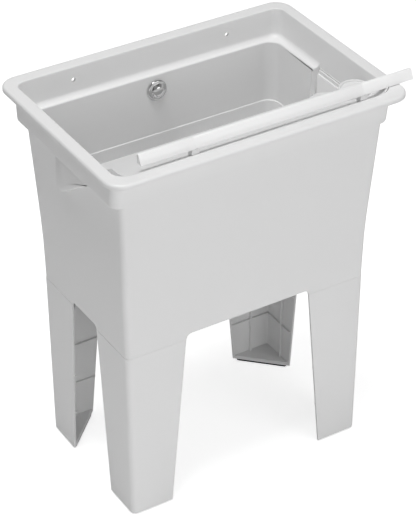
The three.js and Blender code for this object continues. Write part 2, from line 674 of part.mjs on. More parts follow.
// ---------------------------------------------------------------- overflow
// Drawn about its own axis: +Y runs back through the basin wall, whose inner face is y = 0.
const capSeat = -(OVERFLOW.gasket + 2 * GAP);
const spigot = HOSE.inner - GAP;
const capShell = solid(toY(turned([
  [0, -9.5],
  [5, -9.2],
  [9.5, -7.6],
  [12.6, -5.2],
  [OVERFLOW.dome, -2.9],
  [OVERFLOW.ring - 3, -2.4],
  [OVERFLOW.ring, -1],
  [OVERFLOW.ring, 0],
  [OVERFLOW.bore - GAP, 0],
  [OVERFLOW.bore - GAP, 8],
  [OVERFLOW.bore - 2.5, 8],
  [OVERFLOW.bore - 2.5, -5],
  [0, -6.8],
])));
const capWindows = [];
for (let i = 0; i < OVERFLOW.windows; i++) {
  const window = new THREE.BoxGeometry(9, 2.8, 4.4).translate(11, -4.6, 0);
  capWindows.push(solid(window.rotateY((i / OVERFLOW.windows) * 2 * Math.PI)));
}
const overflowCap = less(capShell, capWindows).translate(0, capSeat, 0);
const overflowGasket = solid(toY(
  ring(OVERFLOW.ring - 1.5, OVERFLOW.bore + GAP, -OVERFLOW.gasket - GAP, -GAP, 24)));

/** Tube of a ring section along a path. */
function pipe(path, outer, inner, steps, sides) {
  const section = new THREE.Shape();
  section.absarc(0, 0, outer, 0, 2 * Math.PI);
  const hole = new THREE.Path();
  hole.absarc(0, 0, inner, 0, 2 * Math.PI, true);
  section.holes.push(hole);
  return solid(new THREE.ExtrudeGeometry(section, {
    steps,
    bevelEnabled: false,
    extrudePath: path,
    curveSegments: sides / 2,
  }));
}

const elbowY = wallDeep + ELBOW.reach;
const elbowPath = new THREE.CurvePath();
const elbowCorner = new THREE.Vector3(0, elbowY, 0);
const elbowIn = new THREE.Vector3(0, elbowY - ELBOW.bend, 0);
const elbowOut = new THREE.Vector3(0, elbowY, -ELBOW.bend);
elbowPath.add(new THREE.LineCurve3(new THREE.Vector3(0, wallDeep + 4, 0), elbowIn));
elbowPath.add(new THREE.QuadraticBezierCurve3(elbowIn, elbowCorner, elbowOut));
elbowPath.add(new THREE.LineCurve3(elbowOut, new THREE.Vector3(0, elbowY, -ELBOW.drop)));
const overflowBody = joined([
  pipe(elbowPath, spigot, spigot - ELBOW.wall, 12, 16),
  solid(toY(ring(OVERFLOW.sleeve, OVERFLOW.bore + GAP, GAP, wallDeep + 9, 24))),
  solid(toY(ring(OVERFLOW.sleeve, spigot - 1.5, wallDeep + 8, wallDeep + 10, 24))),
]);
const overflowNut = solid(toY(
  lobedNut(OVERFLOW_NUT, OVERFLOW.sleeve + GAP, wallDeep + GAP + OVERFLOW_NUT.high)));

// Hose from the elbow down behind the apron, in through the port and on to the waste tee.
const onOverflow = (y, z) =>
  new THREE.Vector3(0, y, z).applyEuler(overflowTilt).add(overflowSpot);
const hoseTop = onOverflow(elbowY, -ELBOW.bend - 6);
const hoseLow = onOverflow(elbowY, -(OVERFLOW.z - HOSE.bendZ));
const hosePath = new THREE.CurvePath();
hosePath.add(new THREE.LineCurve3(hoseTop, hoseLow));
hosePath.add(new THREE.CubicBezierCurve3(
  hoseLow,
  onOverflow(elbowY, -(OVERFLOW.z - HOSE.bendZ) - 38),
  new THREE.Vector3(0, HOSE.portY + 14, HOSE.inletZ),
  new THREE.Vector3(0, HOSE.portY - 18, HOSE.inletZ)));
hosePath.add(new THREE.LineCurve3(
  new THREE.Vector3(0, HOSE.portY - 18, HOSE.inletZ),
  new THREE.Vector3(0, WASTE.y + WASTE.body + 1, HOSE.inletZ)));
const hose = pipe(hosePath, HOSE.outer, HOSE.inner, 22, 16);

// ---------------------------------------------------------------- loose front rail
const railShape = outline([
  [RAIL.frontY, RAIL.z],
  [RAIL.rear, RAIL.z],
  [RAIL.rear, RAIL.topZ - RAIL.edge],
  [RAIL.rear - RAIL.edge, RAIL.topZ],
  [RAIL.topY + 1, RAIL.topZ],
  [RAIL.topY - 0.4, RAIL.topZ - 1],
  [RAIL.frontY - 0.3, RAIL.z + 0.9],
]);
const rail = alongX(railShape, -RAIL.length / 2, RAIL.length / 2);
const railFoot = alongX(outline([
  [RAIL_FOOT.frontY, bedAt(RAIL_FOOT.frontY) + GAP],
  [RAIL_FOOT.rearY, bedAt(RAIL_FOOT.rearY) + GAP],
  [RAIL_FOOT.rearY, RAIL.z - GAP],
  [RAIL_FOOT.frontY, RAIL.z - GAP],
]), -RAIL_FOOT.wide / 2, RAIL_FOOT.wide / 2);

// ---------------------------------------------------------------- assembly
// The rail overhangs the rim on the right, so the whole box is centred over the origin.
const overhang = RAIL.shift + RAIL.length / 2 - HALF.x;
const sink = new THREE.Group();
sink.position.x = -overhang / 2;

sink.add(piece('tub_body', tub, plastic(TUB_GREY, 0.42)));
for (const [side, sx] of [['left', -1], ['right', 1]]) {
  for (const [end, sy] of [['front', -1], ['rear', 1]]) {
    const corner = new THREE.Group();
    corner.scale.set(sx, sy, 1);
    corner.add(piece(`leg_${end}_${side}`, legBody, plastic(TUB_GREY, 0.42)));
    corner.add(piece(`glide_${end}_${side}`, glideBody, plastic(RUBBER_BLACK, 0.8)));
    corner.add(piece(`leg_screw_${end}_${side}`, screwBody, steel()));
    sink.add(corner);
  }
}

const waste = new THREE.Group();
waste.position.set(WASTE.x, WASTE.y, 0);
waste.add(piece('waste_flange', wasteBody, chrome()));
waste.add(piece('waste_gasket', wasteGasket, plastic(RUBBER_BLACK, 0.75)));
waste.add(piece('waste_washer', wasteWasher, plastic(RUBBER_BLACK, 0.75)));
waste.add(piece('waste_nut', wasteNut, plastic(FITTING_WHITE, 0.5)));
waste.add(piece('waste_tee', tee, plastic(FITTING_WHITE, 0.5)));
waste.add(piece('waste_plug', plug, plastic(RUBBER_BLACK, 0.6)));
sink.add(waste);

const overflow = new THREE.Group();
overflow.position.copy(overflowSpot);
overflow.rotation.copy(overflowTilt);
overflow.add(piece('overflow_cap', overflowCap, chrome()));
overflow.add(piece('overflow_gasket', overflowGasket, plastic(RUBBER_BLACK, 0.75)));
overflow.add(piece('overflow_body', overflowBody, plastic(FITTING_WHITE, 0.5)));
overflow.add(piece('overflow_nut', overflowNut, plastic(FITTING_WHITE, 0.5)));
sink.add(overflow);
sink.add(piece('overflow_hose', hose, plastic(FITTING_WHITE, 0.55)));

const frontRail = new THREE.Group();
frontRail.position.x = RAIL.shift;
frontRail.add(piece('front_rail', rail, plastic(RAIL_WHITE, 0.45)));
for (const [side, sx] of [['left', -1], ['right', 1]]) {
  const foot = piece(`rail_foot_${side}`, railFoot, plastic(RAIL_WHITE, 0.45));
  foot.position.x = (sx * RAIL_FOOT.apart) / 2;
  frontRail.add(foot);
}
sink.add(frontRail);

export default sink;
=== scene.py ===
"""Utility laundry sink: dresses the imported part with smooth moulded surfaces, finishes and a studio."""

import math

import bpy
import numpy as np
from mathutils import Matrix, Vector


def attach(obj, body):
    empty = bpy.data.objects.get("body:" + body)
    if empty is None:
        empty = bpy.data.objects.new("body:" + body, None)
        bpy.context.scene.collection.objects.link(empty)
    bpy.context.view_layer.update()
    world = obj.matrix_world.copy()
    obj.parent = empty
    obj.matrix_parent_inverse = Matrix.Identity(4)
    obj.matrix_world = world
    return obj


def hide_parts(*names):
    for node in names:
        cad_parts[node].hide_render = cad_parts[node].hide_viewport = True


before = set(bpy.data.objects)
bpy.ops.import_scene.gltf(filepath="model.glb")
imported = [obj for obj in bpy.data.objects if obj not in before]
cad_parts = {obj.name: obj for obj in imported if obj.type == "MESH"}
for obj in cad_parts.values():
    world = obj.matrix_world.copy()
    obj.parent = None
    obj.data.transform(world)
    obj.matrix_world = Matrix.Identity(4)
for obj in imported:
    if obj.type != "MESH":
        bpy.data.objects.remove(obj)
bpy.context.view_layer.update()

bl_info = {
    "name": "Utility laundry sink",
    "version": (1, 0, 0),
    "blender": (4, 5, 0),
    "location": "3D View > Sidebar > Sink",
    "description": "Moulded tub, legs, waste, overflow and rail of a utility laundry sink",
    "category": "Object",
}

MM = 0.001
SHIFT = -14.5  # mm, from the tub's middle plane to the part's own origin
SKIN = 4.5  # wall of the apron, the basin and the legs

# Apron, from the top down: height, half width, half depth.
BODY = [
    (750.0, 288.0, 185.0),
    (636.0, 282.0, 177.5),
    (535.0, 277.5, 170.0),
    (486.0, 275.5, 168.0),
    (392.0, 273.0, 167.5),
]
# Basin, from the top down: height, half width, distances towards -Y and +Y, rear and front corner radius.
PIT = [
    (762, 277, -38, 179.5, 26, 3),
    (701, 274, -38, 175.5, 26, 3),
    (690, 273.4, -38.7, 174.8, 26, 8),
    (668, 272.2, -40, 173.3, 26, 20),
    (637.2, 270.5, -41, 171, 26, 26),
    (636, 268.5, -42.5, 169, 26, 26),
    (590, 264.5, -45, 164.5, 26, 26),
    (579, 262.4, -47, 162.5, 25, 25),
    (572, 258, -51, 158, 22, 22),
    (568, 251.5, -57.5, 151.5, 18, 18),
    (566, 243, -66, 143, 14, 14),
]
APRON_LOW, APRON_R = BODY[-1][0], 12.0
FLOOR_TOP, FLOOR_LOW = PIT[-1][0], 561  # faces of the basin floor at the waste
MOUTH = (298.5, 194.0, 197.5, 20.0)  # half width, distances towards -Y and +Y, corner radius
MOUTH_EDGE = 822.0
RIM_FALL = 5.0  # how far the front rim falls towards the mouth
LEDGE_Z = 765.0
LEDGE_COVE = 10.0  # radius between the splash and the ledge
SPLASH_LOW = LEDGE_Z + LEDGE_COVE
SPLASH_X, SPLASH_Y = 293.5, 193.5  # half width and back of the splash at its foot
END_Y = 38.5  # face of the end walls, between the bed and the ledge
END_TOP = 759.0  # where they meet the basin's edge
BED_SLOPE = 118.0 / 232.0
BED_SKIN = 5.05  # from the bed down to its underside, measured upright
COVE_AT, COVE_R = 266.5, 33.0
LIP_Y, LIP_R = 33.0, 5.0  # where the bed starts to turn over into the basin, and its radius
LIP_HALF = 271.0  # the lip's half length, up to the end walls
SOAP_SPOT = (263.0, -124.0)
WASTE_Y = 104.0
WALL_HOLES = (-174.0, 174.0)
WALL_HOLE_Z = 797.5
HOLE_DEEP = 3.5  # of each end of a fixing hole
PATCH = 8.0  # half side of the square of wall worked round each fixing hole
PATCH_EDGES = [hole + side for hole in WALL_HOLES for side in (-PATCH, PATCH)]
CORNER = 12  # segments on each upright corner


# ---- mesh helpers
def bed(y):
    """Height of the scrub bed: a plane that falls 118 mm over 232 mm towards the basin."""
    return 701.0 + (38.0 - y) * BED_SLOPE


def cove(x):
    """Rise of the bed's coved sides: a circular arc that starts at |x| = COVE_AT."""
    run = np.clip(np.abs(x) - COVE_AT, 0.0, COVE_R * 0.999)
    return COVE_R - np.sqrt(COVE_R**2 - run**2)


def rim_share(x):
    """Share of the front rim's fall at x: all of it up to |x| = 258, none from 292 on."""
    return np.clip((292 - np.abs(x)) / 34, 0, 1)


def arc(start, end, count):
    """Angles in radians from start to end degrees."""
    return np.radians(np.linspace(start, end, count))


def full_turn(steps):
    """Angles in radians of equal steps all round."""
    return np.linspace(0, 2 * math.pi, steps, endpoint=False)


def grid_faces(rows, cols, wrap):
    """Quads between neighbouring rows and columns of a grid; wrap joins the last column to the first."""
    index = np.arange(rows * cols).reshape(rows, cols)
    here = index if wrap else index[:, :-1]
    after = np.roll(index, -1, axis=1) if wrap else index[:, 1:]
    return np.stack([here[:-1], after[:-1], after[1:], here[1:]], axis=-1)


def patch(points, wrap=False, seen_from=None, away_from=None, skip=None, probe=None):
    """One grid of points (rows, columns, 3) with its quads turned to face a viewpoint or away from a point.

    skip is a mask of quads left out, and probe a slice of rows that decides which way the grid faces.
    """
    rows, cols, _ = points.shape
    flat = points.reshape(-1, 3)
    faces = grid_faces(rows, cols, wrap)
    tested = flat[(faces[probe] if probe else faces).reshape(-1, 4)]
    normals = np.cross(tested[:, 2] - tested[:, 0], tested[:, 3] - tested[:, 1])
    centres = tested.mean(axis=1)
    aim = centres - np.array(away_from) if seen_from is None else np.array(seen_from) - centres
    if np.sum(normals * aim) < 0:
        faces = faces[..., ::-1]
    if skip is not None:
        faces = faces[~skip]
    return flat, faces.reshape(-1, 4)


def add_object(name, data):
    """New object of a mesh, lamp or camera in the scene's own collection."""
    obj = bpy.data.objects.new(name, data)
    bpy.context.scene.collection.objects.link(obj)
    return obj


def make_mesh(name, patches, material, sharp=38.0, edge=None, weld=False):
    """Joins patches in millimetres into one smooth-shaded object in metres.

    Points closer than 0.02 mm become one, so seams and poles are closed; with weld off only those of
    one patch do. Edges above the sharp angle stay sharp; edge gives their rounding in mm instead.
    """
    sizes = [len(flat) for flat, _ in patches]
    firsts = np.concatenate([[0], np.cumsum(sizes)[:-1]])
    points = np.concatenate([flat for flat, _ in patches])
    faces = np.concatenate([quads + first for (_, quads), first in zip(patches, firsts)])
    owner = np.repeat(np.arange(len(patches)) * (not weld), sizes)
    key = np.column_stack([np.round(points / 0.02), owner])
    _, keep, index = np.unique(key, axis=0, return_index=True, return_inverse=True)
    points = (points[keep] + (SHIFT, 0.0, 0.0)) * MM
    faces = index.reshape(-1)[faces]
    own = faces != np.roll(faces, -1, axis=1)
    whole = own.sum(axis=1) > 2
    faces, own = faces[whole], own[whole]
    corners = faces[own]
    starts = np.concatenate([[0], np.cumsum(own.sum(axis=1))[:-1]])
    mesh = bpy.data.meshes.new(name)
    mesh.vertices.add(len(points))
    mesh.vertices.foreach_set("co", points.astype(np.float32).ravel())
    mesh.loops.add(len(corners))
    mesh.loops.foreach_set("vertex_index", corners.astype(np.int32))
    mesh.polygons.add(len(starts))
    mesh.polygons.foreach_set("loop_start", starts.astype(np.int32))
    mesh.update(calc_edges=True)
    mesh.validate(clean_customdata=False)
    mesh.shade_smooth()
    mesh.materials.append(material)
    mesh.set_sharp_from_angle(angle=math.radians(sharp))
    obj = add_object(name, mesh)
    if edge is not None:
        round_edges = obj.modifiers.new("rounded edges", "BEVEL")
        round_edges.width = edge * MM
        round_edges.segments = 2
        round_edges.limit_method = "ANGLE"
        round_edges.angle_limit = math.radians(sharp)
        round_edges.harden_normals = True
    return obj


def outward(points, faces):
    """A closed patch with its quads turned outward, by the sign of the volume they enclose."""
    corners = points[faces] - points.mean(axis=0)
    halves = ((0, 1, 2), (0, 2, 3))
    volume = sum(np.sum(np.cross(corners[:, i], corners[:, j]) * corners[:, k]) for i, j, k in halves)
    return points, faces if volume > 0 else faces[:, ::-1]


def closed_grid(grid):
    """Closed patch of a grid wrapped round that shuts at its first and last rows."""
    return outward(grid.reshape(-1, 3), grid_faces(*grid.shape[:2], True).reshape(-1, 4))


def solid_grid(rows):
    """Closed patch from rows of points wrapped round; each end row is drawn in to its middle."""
    ends = [np.broadcast_to(row.mean(axis=0), row.shape) for row in (rows[0], rows[-1])]
    return closed_grid(np.concatenate([ends[:1], rows, ends[1:]]))


def wall_grid(outer, inner):
    """Closed patch of a wall between two grids (rows, columns, 3) of the same size."""
    loop = np.concatenate([outer, inner[:, ::-1]], axis=1)
    rows, cols, _ = loop.shape
    faces = [grid_faces(rows, cols, True).reshape(-1, 4)]
    across = np.arange(outer.shape[1] - 1)
    for row, turn in ((0, -1), (rows - 1, 1)):
        near = across + row * cols
        far = (cols - 1 - across) + row * cols
        faces.append(np.stack([near, near + 1, far - 1, far], axis=-1)[:, ::turn])
    return outward(loop.reshape(-1, 3), np.concatenate(faces))


def prism(outline, low, high):
    """Two rows of points: an outline at two heights."""
    return np.stack([lift(outline, low), lift(outline, high)])


def pipe_wall(shell, lumen):
    """Closed patch of a pipe's wall between the rings of its two faces."""
    return wall_grid(*[np.concatenate([grid, grid[:, :1]], axis=1) for grid in (shell, lumen)])


def block(low, high):
    """Closed box between two opposite corners."""
    (x0, y0, z0), (x1, y1, z1) = low, high
    return solid_grid(prism([(x0, y0), (x1, y0), (x1, y1), (x0, y1)], z0, z1))


def tube_grid(profile, **placing):
    """Closed patch of a turned profile of (radius, height); off the axis it closes on its first point."""
    if profile[0][0] > 0:
        profile = list(profile) + [profile[0]]
    return closed_grid(lathe(profile, **placing))


def swept(path, radii):
    """Rings along a path in the plane x = constant: centre + r (X cos t + (T x X) sin t), T its direction."""
    along = np.gradient(path, axis=0)
    along /= np.linalg.norm(along, axis=1, keepdims=True)
    side = np.array([1.0, 0.0, 0.0])
    turn = full_turn(40)
    offset = side * np.cos(turn)[:, None] + np.cross(along, side)[:, None] * np.sin(turn)[:, None]
    return path[:, None] + offset * np.broadcast_to(radii, len(path))[:, None, None]


def bezier(points, count):
    """Points on a Bezier curve of any degree, by the Bernstein sum."""
    t = np.linspace(0, 1, count)[:, None]
    n = len(points) - 1
    return sum(math.comb(n, i) * (1 - t) ** (n - i) * t**i * np.array(q) for i, q in enumerate(points))


def placed(points, centre, axis="Z", tilt=0.0):
    """Points drawn about +Z, laid along +X or +Y if asked, tilted about X and moved to a centre."""
    order = {"Z": [0, 1, 2], "Y": [1, 2, 0], "X": [2, 0, 1]}[axis]
    return points[..., order] @ np.array(Matrix.Rotation(tilt, 3, "X")).T + np.array(centre)


def lathe(profile, centre, axis="Z", tilt=0.0, steps=64):
    """Grid of a profile of (radius, height) turned about an axis through its centre."""
    profile = np.array(profile, float)
    radius, height, turn = profile[:, :1], profile[:, 1:], full_turn(steps)
    u, v = radius * np.cos(turn), radius * np.sin(turn)
    return placed(np.stack([u, v, np.broadcast_to(height, u.shape)], axis=-1), centre, axis, tilt)


def ring(x, front, back, r, front_r=None, across=(), along=()):
    """Outline of a rounded rectangle, anticlockwise from the left end of its front side.

    across and along give extra points, at fixed x on the front and back and at fixed y on the sides.
    """
    fr = r if front_r is None else front_r
    a = arc(0, 90, CORNER + 1)
    across, along = np.array(across, float), np.array(along, float)

    def line(px, py):
        """Points along a side: one of px and py may be a single number."""
        return np.column_stack(np.broadcast_arrays(px, py))

    def corner(cx, cy, radius, start):
        """Quarter circle about (cx, cy) from a start angle in degrees."""
        angle = a + math.radians(start)
        return line(cx + radius * np.cos(angle), cy + radius * np.sin(angle))

    return np.concatenate([
        [[fr - x, -front]],
        line(across, -front),
        corner(x - fr, fr - front, fr, -90),
        line(x, along),
        corner(x - r, back - r, r, 0),
        line(across[::-1], back),
        corner(r - x, back - r, r, 90),
        line(-x, along[::-1]),
        corner(fr - x, fr - front, fr, 180)[:-1],
    ])


def lift(outline, z):
    """An outline of (x, y) points at one height or at a height for each point."""
    return np.column_stack([outline, np.broadcast_to(z, len(outline))])


# ---- tub surfaces
def at_holes(row):
    """Marks the quads, from each point of a row to the next, that lie at a fixing hole in the back."""
    middle = (row[:, :1] + np.roll(row[:, :1], -1, axis=0)) / 2
    return (np.abs(middle - WALL_HOLES).min(axis=1) < 1.0) & (row[:, 1] > 190)


def opening_curve(half, foot, top):
    """Rounded upper corner of a leg opening as (distance from the middle, height): a quadratic curve."""
    lean, r = (foot - half) / (top - LEG_LOW), 12.0
    t = np.linspace(0, 1, 9)
    side = (1 - t) ** 2 * (half + lean * r) + 2 * t * (1 - t) * half + t**2 * (half - r)
    height = (1 - t) ** 2 * (top - r) + (2 * t * (1 - t) + t**2) * top
    return side, np.maximum(height, APRON_LOW)


def tub_outside():
    """Rim, lip, collar, apron and the skirt's inner face as one grid of rounded rectangles.

    Rows run from the mouth's edge outward, over the lip, down the collar and the apron, under the
    bottom edge and up inside. The bottom row follows the leg openings. The y of the collar's back
    above and below the fixing holes comes with it.
    """
    side_x, side_z = opening_curve(140.0, 177.0, 403.0)
    end_y, end_z = opening_curve(48.0, 78.0, 400.0)
    notch_x = np.concatenate([-side_x, side_x[::-1]])
    notch_y = np.concatenate([-end_y, end_y[::-1]])
    spread_x, spread_y = [-250, -225, -60, 0, 60, 225, 250], [-100, -75, 0, 100]
    cuts = {
        "across": np.sort(np.concatenate([notch_x, PATCH_EDGES, spread_x])),
        "along": np.sort(np.concatenate([notch_y, spread_y])),
    }
    x, front, back, r = MOUTH
    # The mouth's rounded edge, the rim's top, and its outer edge down to the lip's inner face.
    edge = [(MOUTH_EDGE + 3 * math.sin(a), 2.5 * (1 - math.cos(a))) for a in arc(0, 90, 5)]
    levels = [(z, x + e, front + e, back + e, r + e) for z, e in edge]
    for t in (0.12, 0.3, 0.5, 0.75, 1.0):
        levels.append((825.0, 301 + 19 * t, 196.5 + 25.5 * t, 200 + 22 * t, 22.5 + 10.5 * t))
    edge = [(820 + 5 * math.cos(a), 5 * math.sin(a)) for a in arc(15, 90, 6)]
    edge += [(815.2, 5.0), (814.3, 4.6), (814.0, 3.8), (814.0, 1.2), (814.6, 0.6), (817.5, 0.5)]
    levels += [(z, 320 + e, 222 + e, 222 + e, 33 + e) for z, e in edge]
    levels += [(817.5, 308.0, 202.0, 205.0, 22.0), (815.6, 305.3, 198.8, 202.2, 20.0)]
    # The collar with the fixing holes, its rounded foot, and the apron.
    hole_top = len(levels)
    for z in (WALL_HOLE_Z + PATCH, WALL_HOLE_Z - PATCH, SPLASH_LOW):
        t = (z - SPLASH_LOW) / 46.5
        levels.append((z, 304.4 + 0.6 * t, 187.5 + 11 * t, 199 + 3 * t, 18 + 2 * t))
    levels += [
        (756 - 6 * math.sin(a), 298 + 6 * math.cos(a), 185.2, 192 + 6 * math.cos(a), 14 + 4 * math.cos(a))
        for a in arc(0, 90, 5)
    ]
    apron = [(750.0, 291.0, 185.1, 188.0), (749.2, 288.9, 185.0, 185.9), (747.0, 287.9, 184.9, 184.9)]
    levels += [(*level, APRON_R) for level in apron + [(z, w, d, d) for z, w, d in BODY[1:-1]]]
    rows = [lift(ring(*level[1:], **cuts), level[0]) for level in levels]

    def bottom(inset):
        """Bottom edge: the apron's last outline, an inset inside it, raised along the leg openings."""
        w, d = BODY[-1][1] - inset, BODY[-1][2] - inset
        outline = ring(w, d, d, APRON_R - inset / 2, **cuts)
        px, py = np.abs(outline[:, 0]), np.abs(outline[:, 1])
        z = np.full(len(outline), APRON_LOW)
        on_front, on_side = np.isclose(py, d), np.isclose(px, w)
        z[on_front] = np.interp(px[on_front], side_x[::-1], side_z[::-1])
        z[on_side] = np.interp(py[on_side], end_y[::-1], end_z[::-1])
        return lift(outline, z)

    rows += [bottom(0.0), bottom(0.6), bottom(SKIN)]
    # Up inside the apron, up to the underside of the bed.
    heights, widths, depths = np.array(BODY[::-1]).T
    for z in (440, 486, 535, 636, 690, 720, 750, 808):
        w, d = np.interp(z, heights, widths) - SKIN, np.interp(z, heights, depths) - SKIN
        outline = ring(w, d, d, 9.75, **cuts)
        y = outline[:, 1]
        top = np.where(y < 38.0, bed(y) - BED_SKIN, 748.0)
        rows.append(lift(outline, np.minimum(z, top)))
    points = np.stack(rows)

    # The front rim falls towards the mouth between the corners.
    px, py, pz = points[..., 0], points[..., 1], points[..., 2]
    fall = np.clip((py + 220.5) / 27.5, 0, 1) * rim_share(px)
    soft = fall * fall * (3 - 2 * fall)
    points[..., 2] = pz - np.where((pz > 821.5) & (py < -190), RIM_FALL / 2 * (fall + soft), 0.0)

    skip = np.zeros((len(points) - 1, points.shape[1]), bool)
    skip[hole_top] = at_holes(points[hole_top])
    shell = patch(points, wrap=True, away_from=(0, 0, 700), skip=skip, probe=slice(18, 30))
    return shell, points[hole_top : hole_top + 2, :, 1].max(axis=1)


def fixing_hole(x, faces_y, seen_from):
    """Square of wall with a round hole of 8.4 mm: rows morph from the square to the circle, then run in.

    faces_y is the wall's y at the square's top and bottom, and where the bore ends.
    """
    turn = arc(45, 405, 33)[:-1]
    unit = np.stack([np.cos(turn), np.sin(turn)], axis=-1)
    square = unit / np.abs(unit).max(axis=1, keepdims=True) * PATCH
    bore = unit * 4.2
    top_y, low_y, far_y = faces_y

    def row(spots, y):
        """Spots (across, up) round the hole's middle, at a wall's y."""
        return np.column_stack([x + spots[:, 0], np.broadcast_to(y, len(spots)), WALL_HOLE_Z + spots[:, 1]])

    def on_wall(spots):
        """The wall's y at each spot: a straight line from the square's bottom to its top."""
        return low_y + (top_y - low_y) * (spots[:, 1] + PATCH) / (2 * PATCH)

    rows = [row(spots, on_wall(spots)) for spots in (square, unit * 4.9, unit * 4.3)]
    rows += [row(bore, on_wall(bore) + 0.7 * np.sign(far_y - low_y)), row(bore, far_y)]
    return patch(np.stack(rows), wrap=True, seen_from=seen_from, probe=slice(0, 1))


def rear_strip():
    """Splash, cove, ledge and basin edge round the rear three sides, as an open grid.

    Each row is the rear part of a rounded rectangle from one end wall to the other. The first and last
    columns turn down over a 3 mm radius at the end walls. Its first column comes first, and the y of
    the splash above and below the fixing holes last.
    """
    mouth_x, _, mouth_y, r = MOUTH
    levels = [(MOUTH_EDGE, mouth_x, mouth_y, r, 0.0)]
    for z in (WALL_HOLE_Z + PATCH, WALL_HOLE_Z - PATCH):
        t = (z - SPLASH_LOW) / (MOUTH_EDGE - SPLASH_LOW)
        levels.append((z, SPLASH_X + 5 * t, SPLASH_Y + 4 * t, r, 0.0))
    for a in arc(0, 90, 7):
        inset, z = LEDGE_COVE * (1 - math.cos(a)), SPLASH_LOW - LEDGE_COVE * math.sin(a)
        levels.append((z, SPLASH_X - inset, SPLASH_Y - inset, r - inset / 3, math.sin(a)))
    levels.append((LEDGE_Z, 281.4, 183.4, 27.0, 1.0))
    for a in arc(0, 90, 6)[1:]:
        e = 3.4 * (1 - math.sin(a))
        levels.append((LEDGE_Z - 3 * (1 - math.cos(a)), 277.2 + e * 1.1, 179.7 + e, 26.0, 1.0))
    bend = arc(90, 0, 5)
    rows = []
    for z, x, back, r, weight in levels:
        outline = ring(x, 0.0, back, r, across=np.sort(PATCH_EDGES + [0.0]))
        keep = outline[outline[:, 1] >= back - r - 0.01]
        end_y = END_Y + 3 - 3 * np.sin(bend)
        drop = 3 * (1 - np.cos(bend)) * weight
        start = np.column_stack([np.full(5, x), end_y, z - drop])
        finish = start[::-1] * [-1, 1, 1]
        rows.append(np.concatenate([start, lift(keep, z), finish]))
    points = np.stack(rows)
    skip = np.zeros((len(points) - 1, points.shape[1] - 1), bool)
    skip[1] = at_holes(points[1])[:-1]
    wall_y = points[1:3, points.shape[1] // 2, 1]
    return points[:, 0], patch(points, seen_from=(0, 80, 1500), skip=skip), wall_y


def wall_x(z):
    """Half width of the bay's side walls at a height, with a 2 mm step in at z = 757."""
    return np.interp(z, [700, 757, 758.2, 775, 822], [291.5, 291.5, 293.5, 293.6, 298.5])


def bay():
    """Scrub bed with its coved sides and side walls, as one grid.

    Each row is the U-shaped section at one y: wall, cove, bed, cove, wall. Rows run from the front rim
    down the slope and turn over the lip, except beyond the lip's ends, where the end walls stand.
    """
    _, front, _, r = MOUTH
    slope = math.atan(BED_SLOPE)
    lip_centre_z = bed(LIP_Y + LIP_R * math.sin(slope)) - LIP_R * math.cos(slope)
    ys = [-193.9, -193, -191, -188, -184, -180, -176, -172, -160, -140, -120, -100, -80, -60]
    ys += [-45, -30, -15, 0, 15, 28]
    turn = arc(math.degrees(slope), 90, 8)
    lip_y = LIP_Y + LIP_R * np.sin(turn)
    lip_z = lip_centre_z + LIP_R * np.cos(turn)
    straight = np.linspace(lip_y[0], END_Y, len(turn))
    rows = []
    for bend, y in enumerate([*ys, *straight], -len(ys)):  # bend counts the rows from the lip on
        inward = r - math.sqrt(max(r**2 - max(r - front - y, 0) ** 2, 0))
        foot_x = wall_x(bed(y) + 12.0) - inward
        foot_z = bed(y) + cove(foot_x)
        wall_z = np.array([MOUTH_EDGE, 806, 790, 775, 766, 758.2, 757, 745, 730, foot_z])
        wall_z = np.maximum(wall_z, min(foot_z, MOUTH_EDGE))
        wall = np.column_stack([wall_x(wall_z) - inward, wall_z])
        wall[-1, 0] = foot_x
        angle = np.linspace(math.asin((foot_x - COVE_AT) / COVE_R), 0, 9)[1:]
        side_x = np.concatenate([COVE_AT + COVE_R * np.sin(angle), [LIP_HALF + 0.1, LIP_HALF - 0.1]])
        side_x = np.sort(side_x)[::-1]
        floor_x = np.concatenate([side_x, [262.0, 240, 200, 150, 100, 50, 0]])
        right = np.concatenate([wall, np.column_stack([floor_x, bed(y) + cove(floor_x)])])
        section = np.concatenate([right[:-1], right[::-1] * [-1, 1]])
        row = np.insert(section, 1, y, axis=1)
        if bend >= 0:
            inner = np.abs(row[:, 0]) < LIP_HALF
            row[inner, 1] = lip_y[bend]
            row[inner, 2] = lip_z[bend] + cove(row[inner, 0])
        rows.append(row)
    # The first row is the front edge, less than 0.1 mm above the rim's own.
    first = rows[0].copy()
    first[:, 2] = np.maximum(MOUTH_EDGE - RIM_FALL * rim_share(first[:, 0]) * 0.965, first[:, 2])
    first[:, 1] = -front
    return patch(np.stack([first] + rows), seen_from=(0, -60, 1500)), lip_centre_z


def end_wall(side, section):
    """Face at the end of the ledge: straight lines from the bed's cove up to the ledge's section."""
    x_high, _, z_high = section[np.argsort(section[:, 0])].T
    t = np.linspace(0, 1, 18)
    rows = []
    for v in np.linspace(0, 1, 8):
        left = LIP_HALF + 3 * v
        x = left + t * (293.6 - left)
        low = bed(END_Y) + cove(x)
        high = np.interp(np.maximum(x, 277.2 - 3.2 * (1 - v)), x_high, z_high)
        high = np.where(x < 277.2, END_TOP, high)
        rows.append(np.column_stack([side * x, np.full(len(x), END_Y), low + v * (high - low)]))
    return patch(np.stack(rows), seen_from=(0, -900, 900))


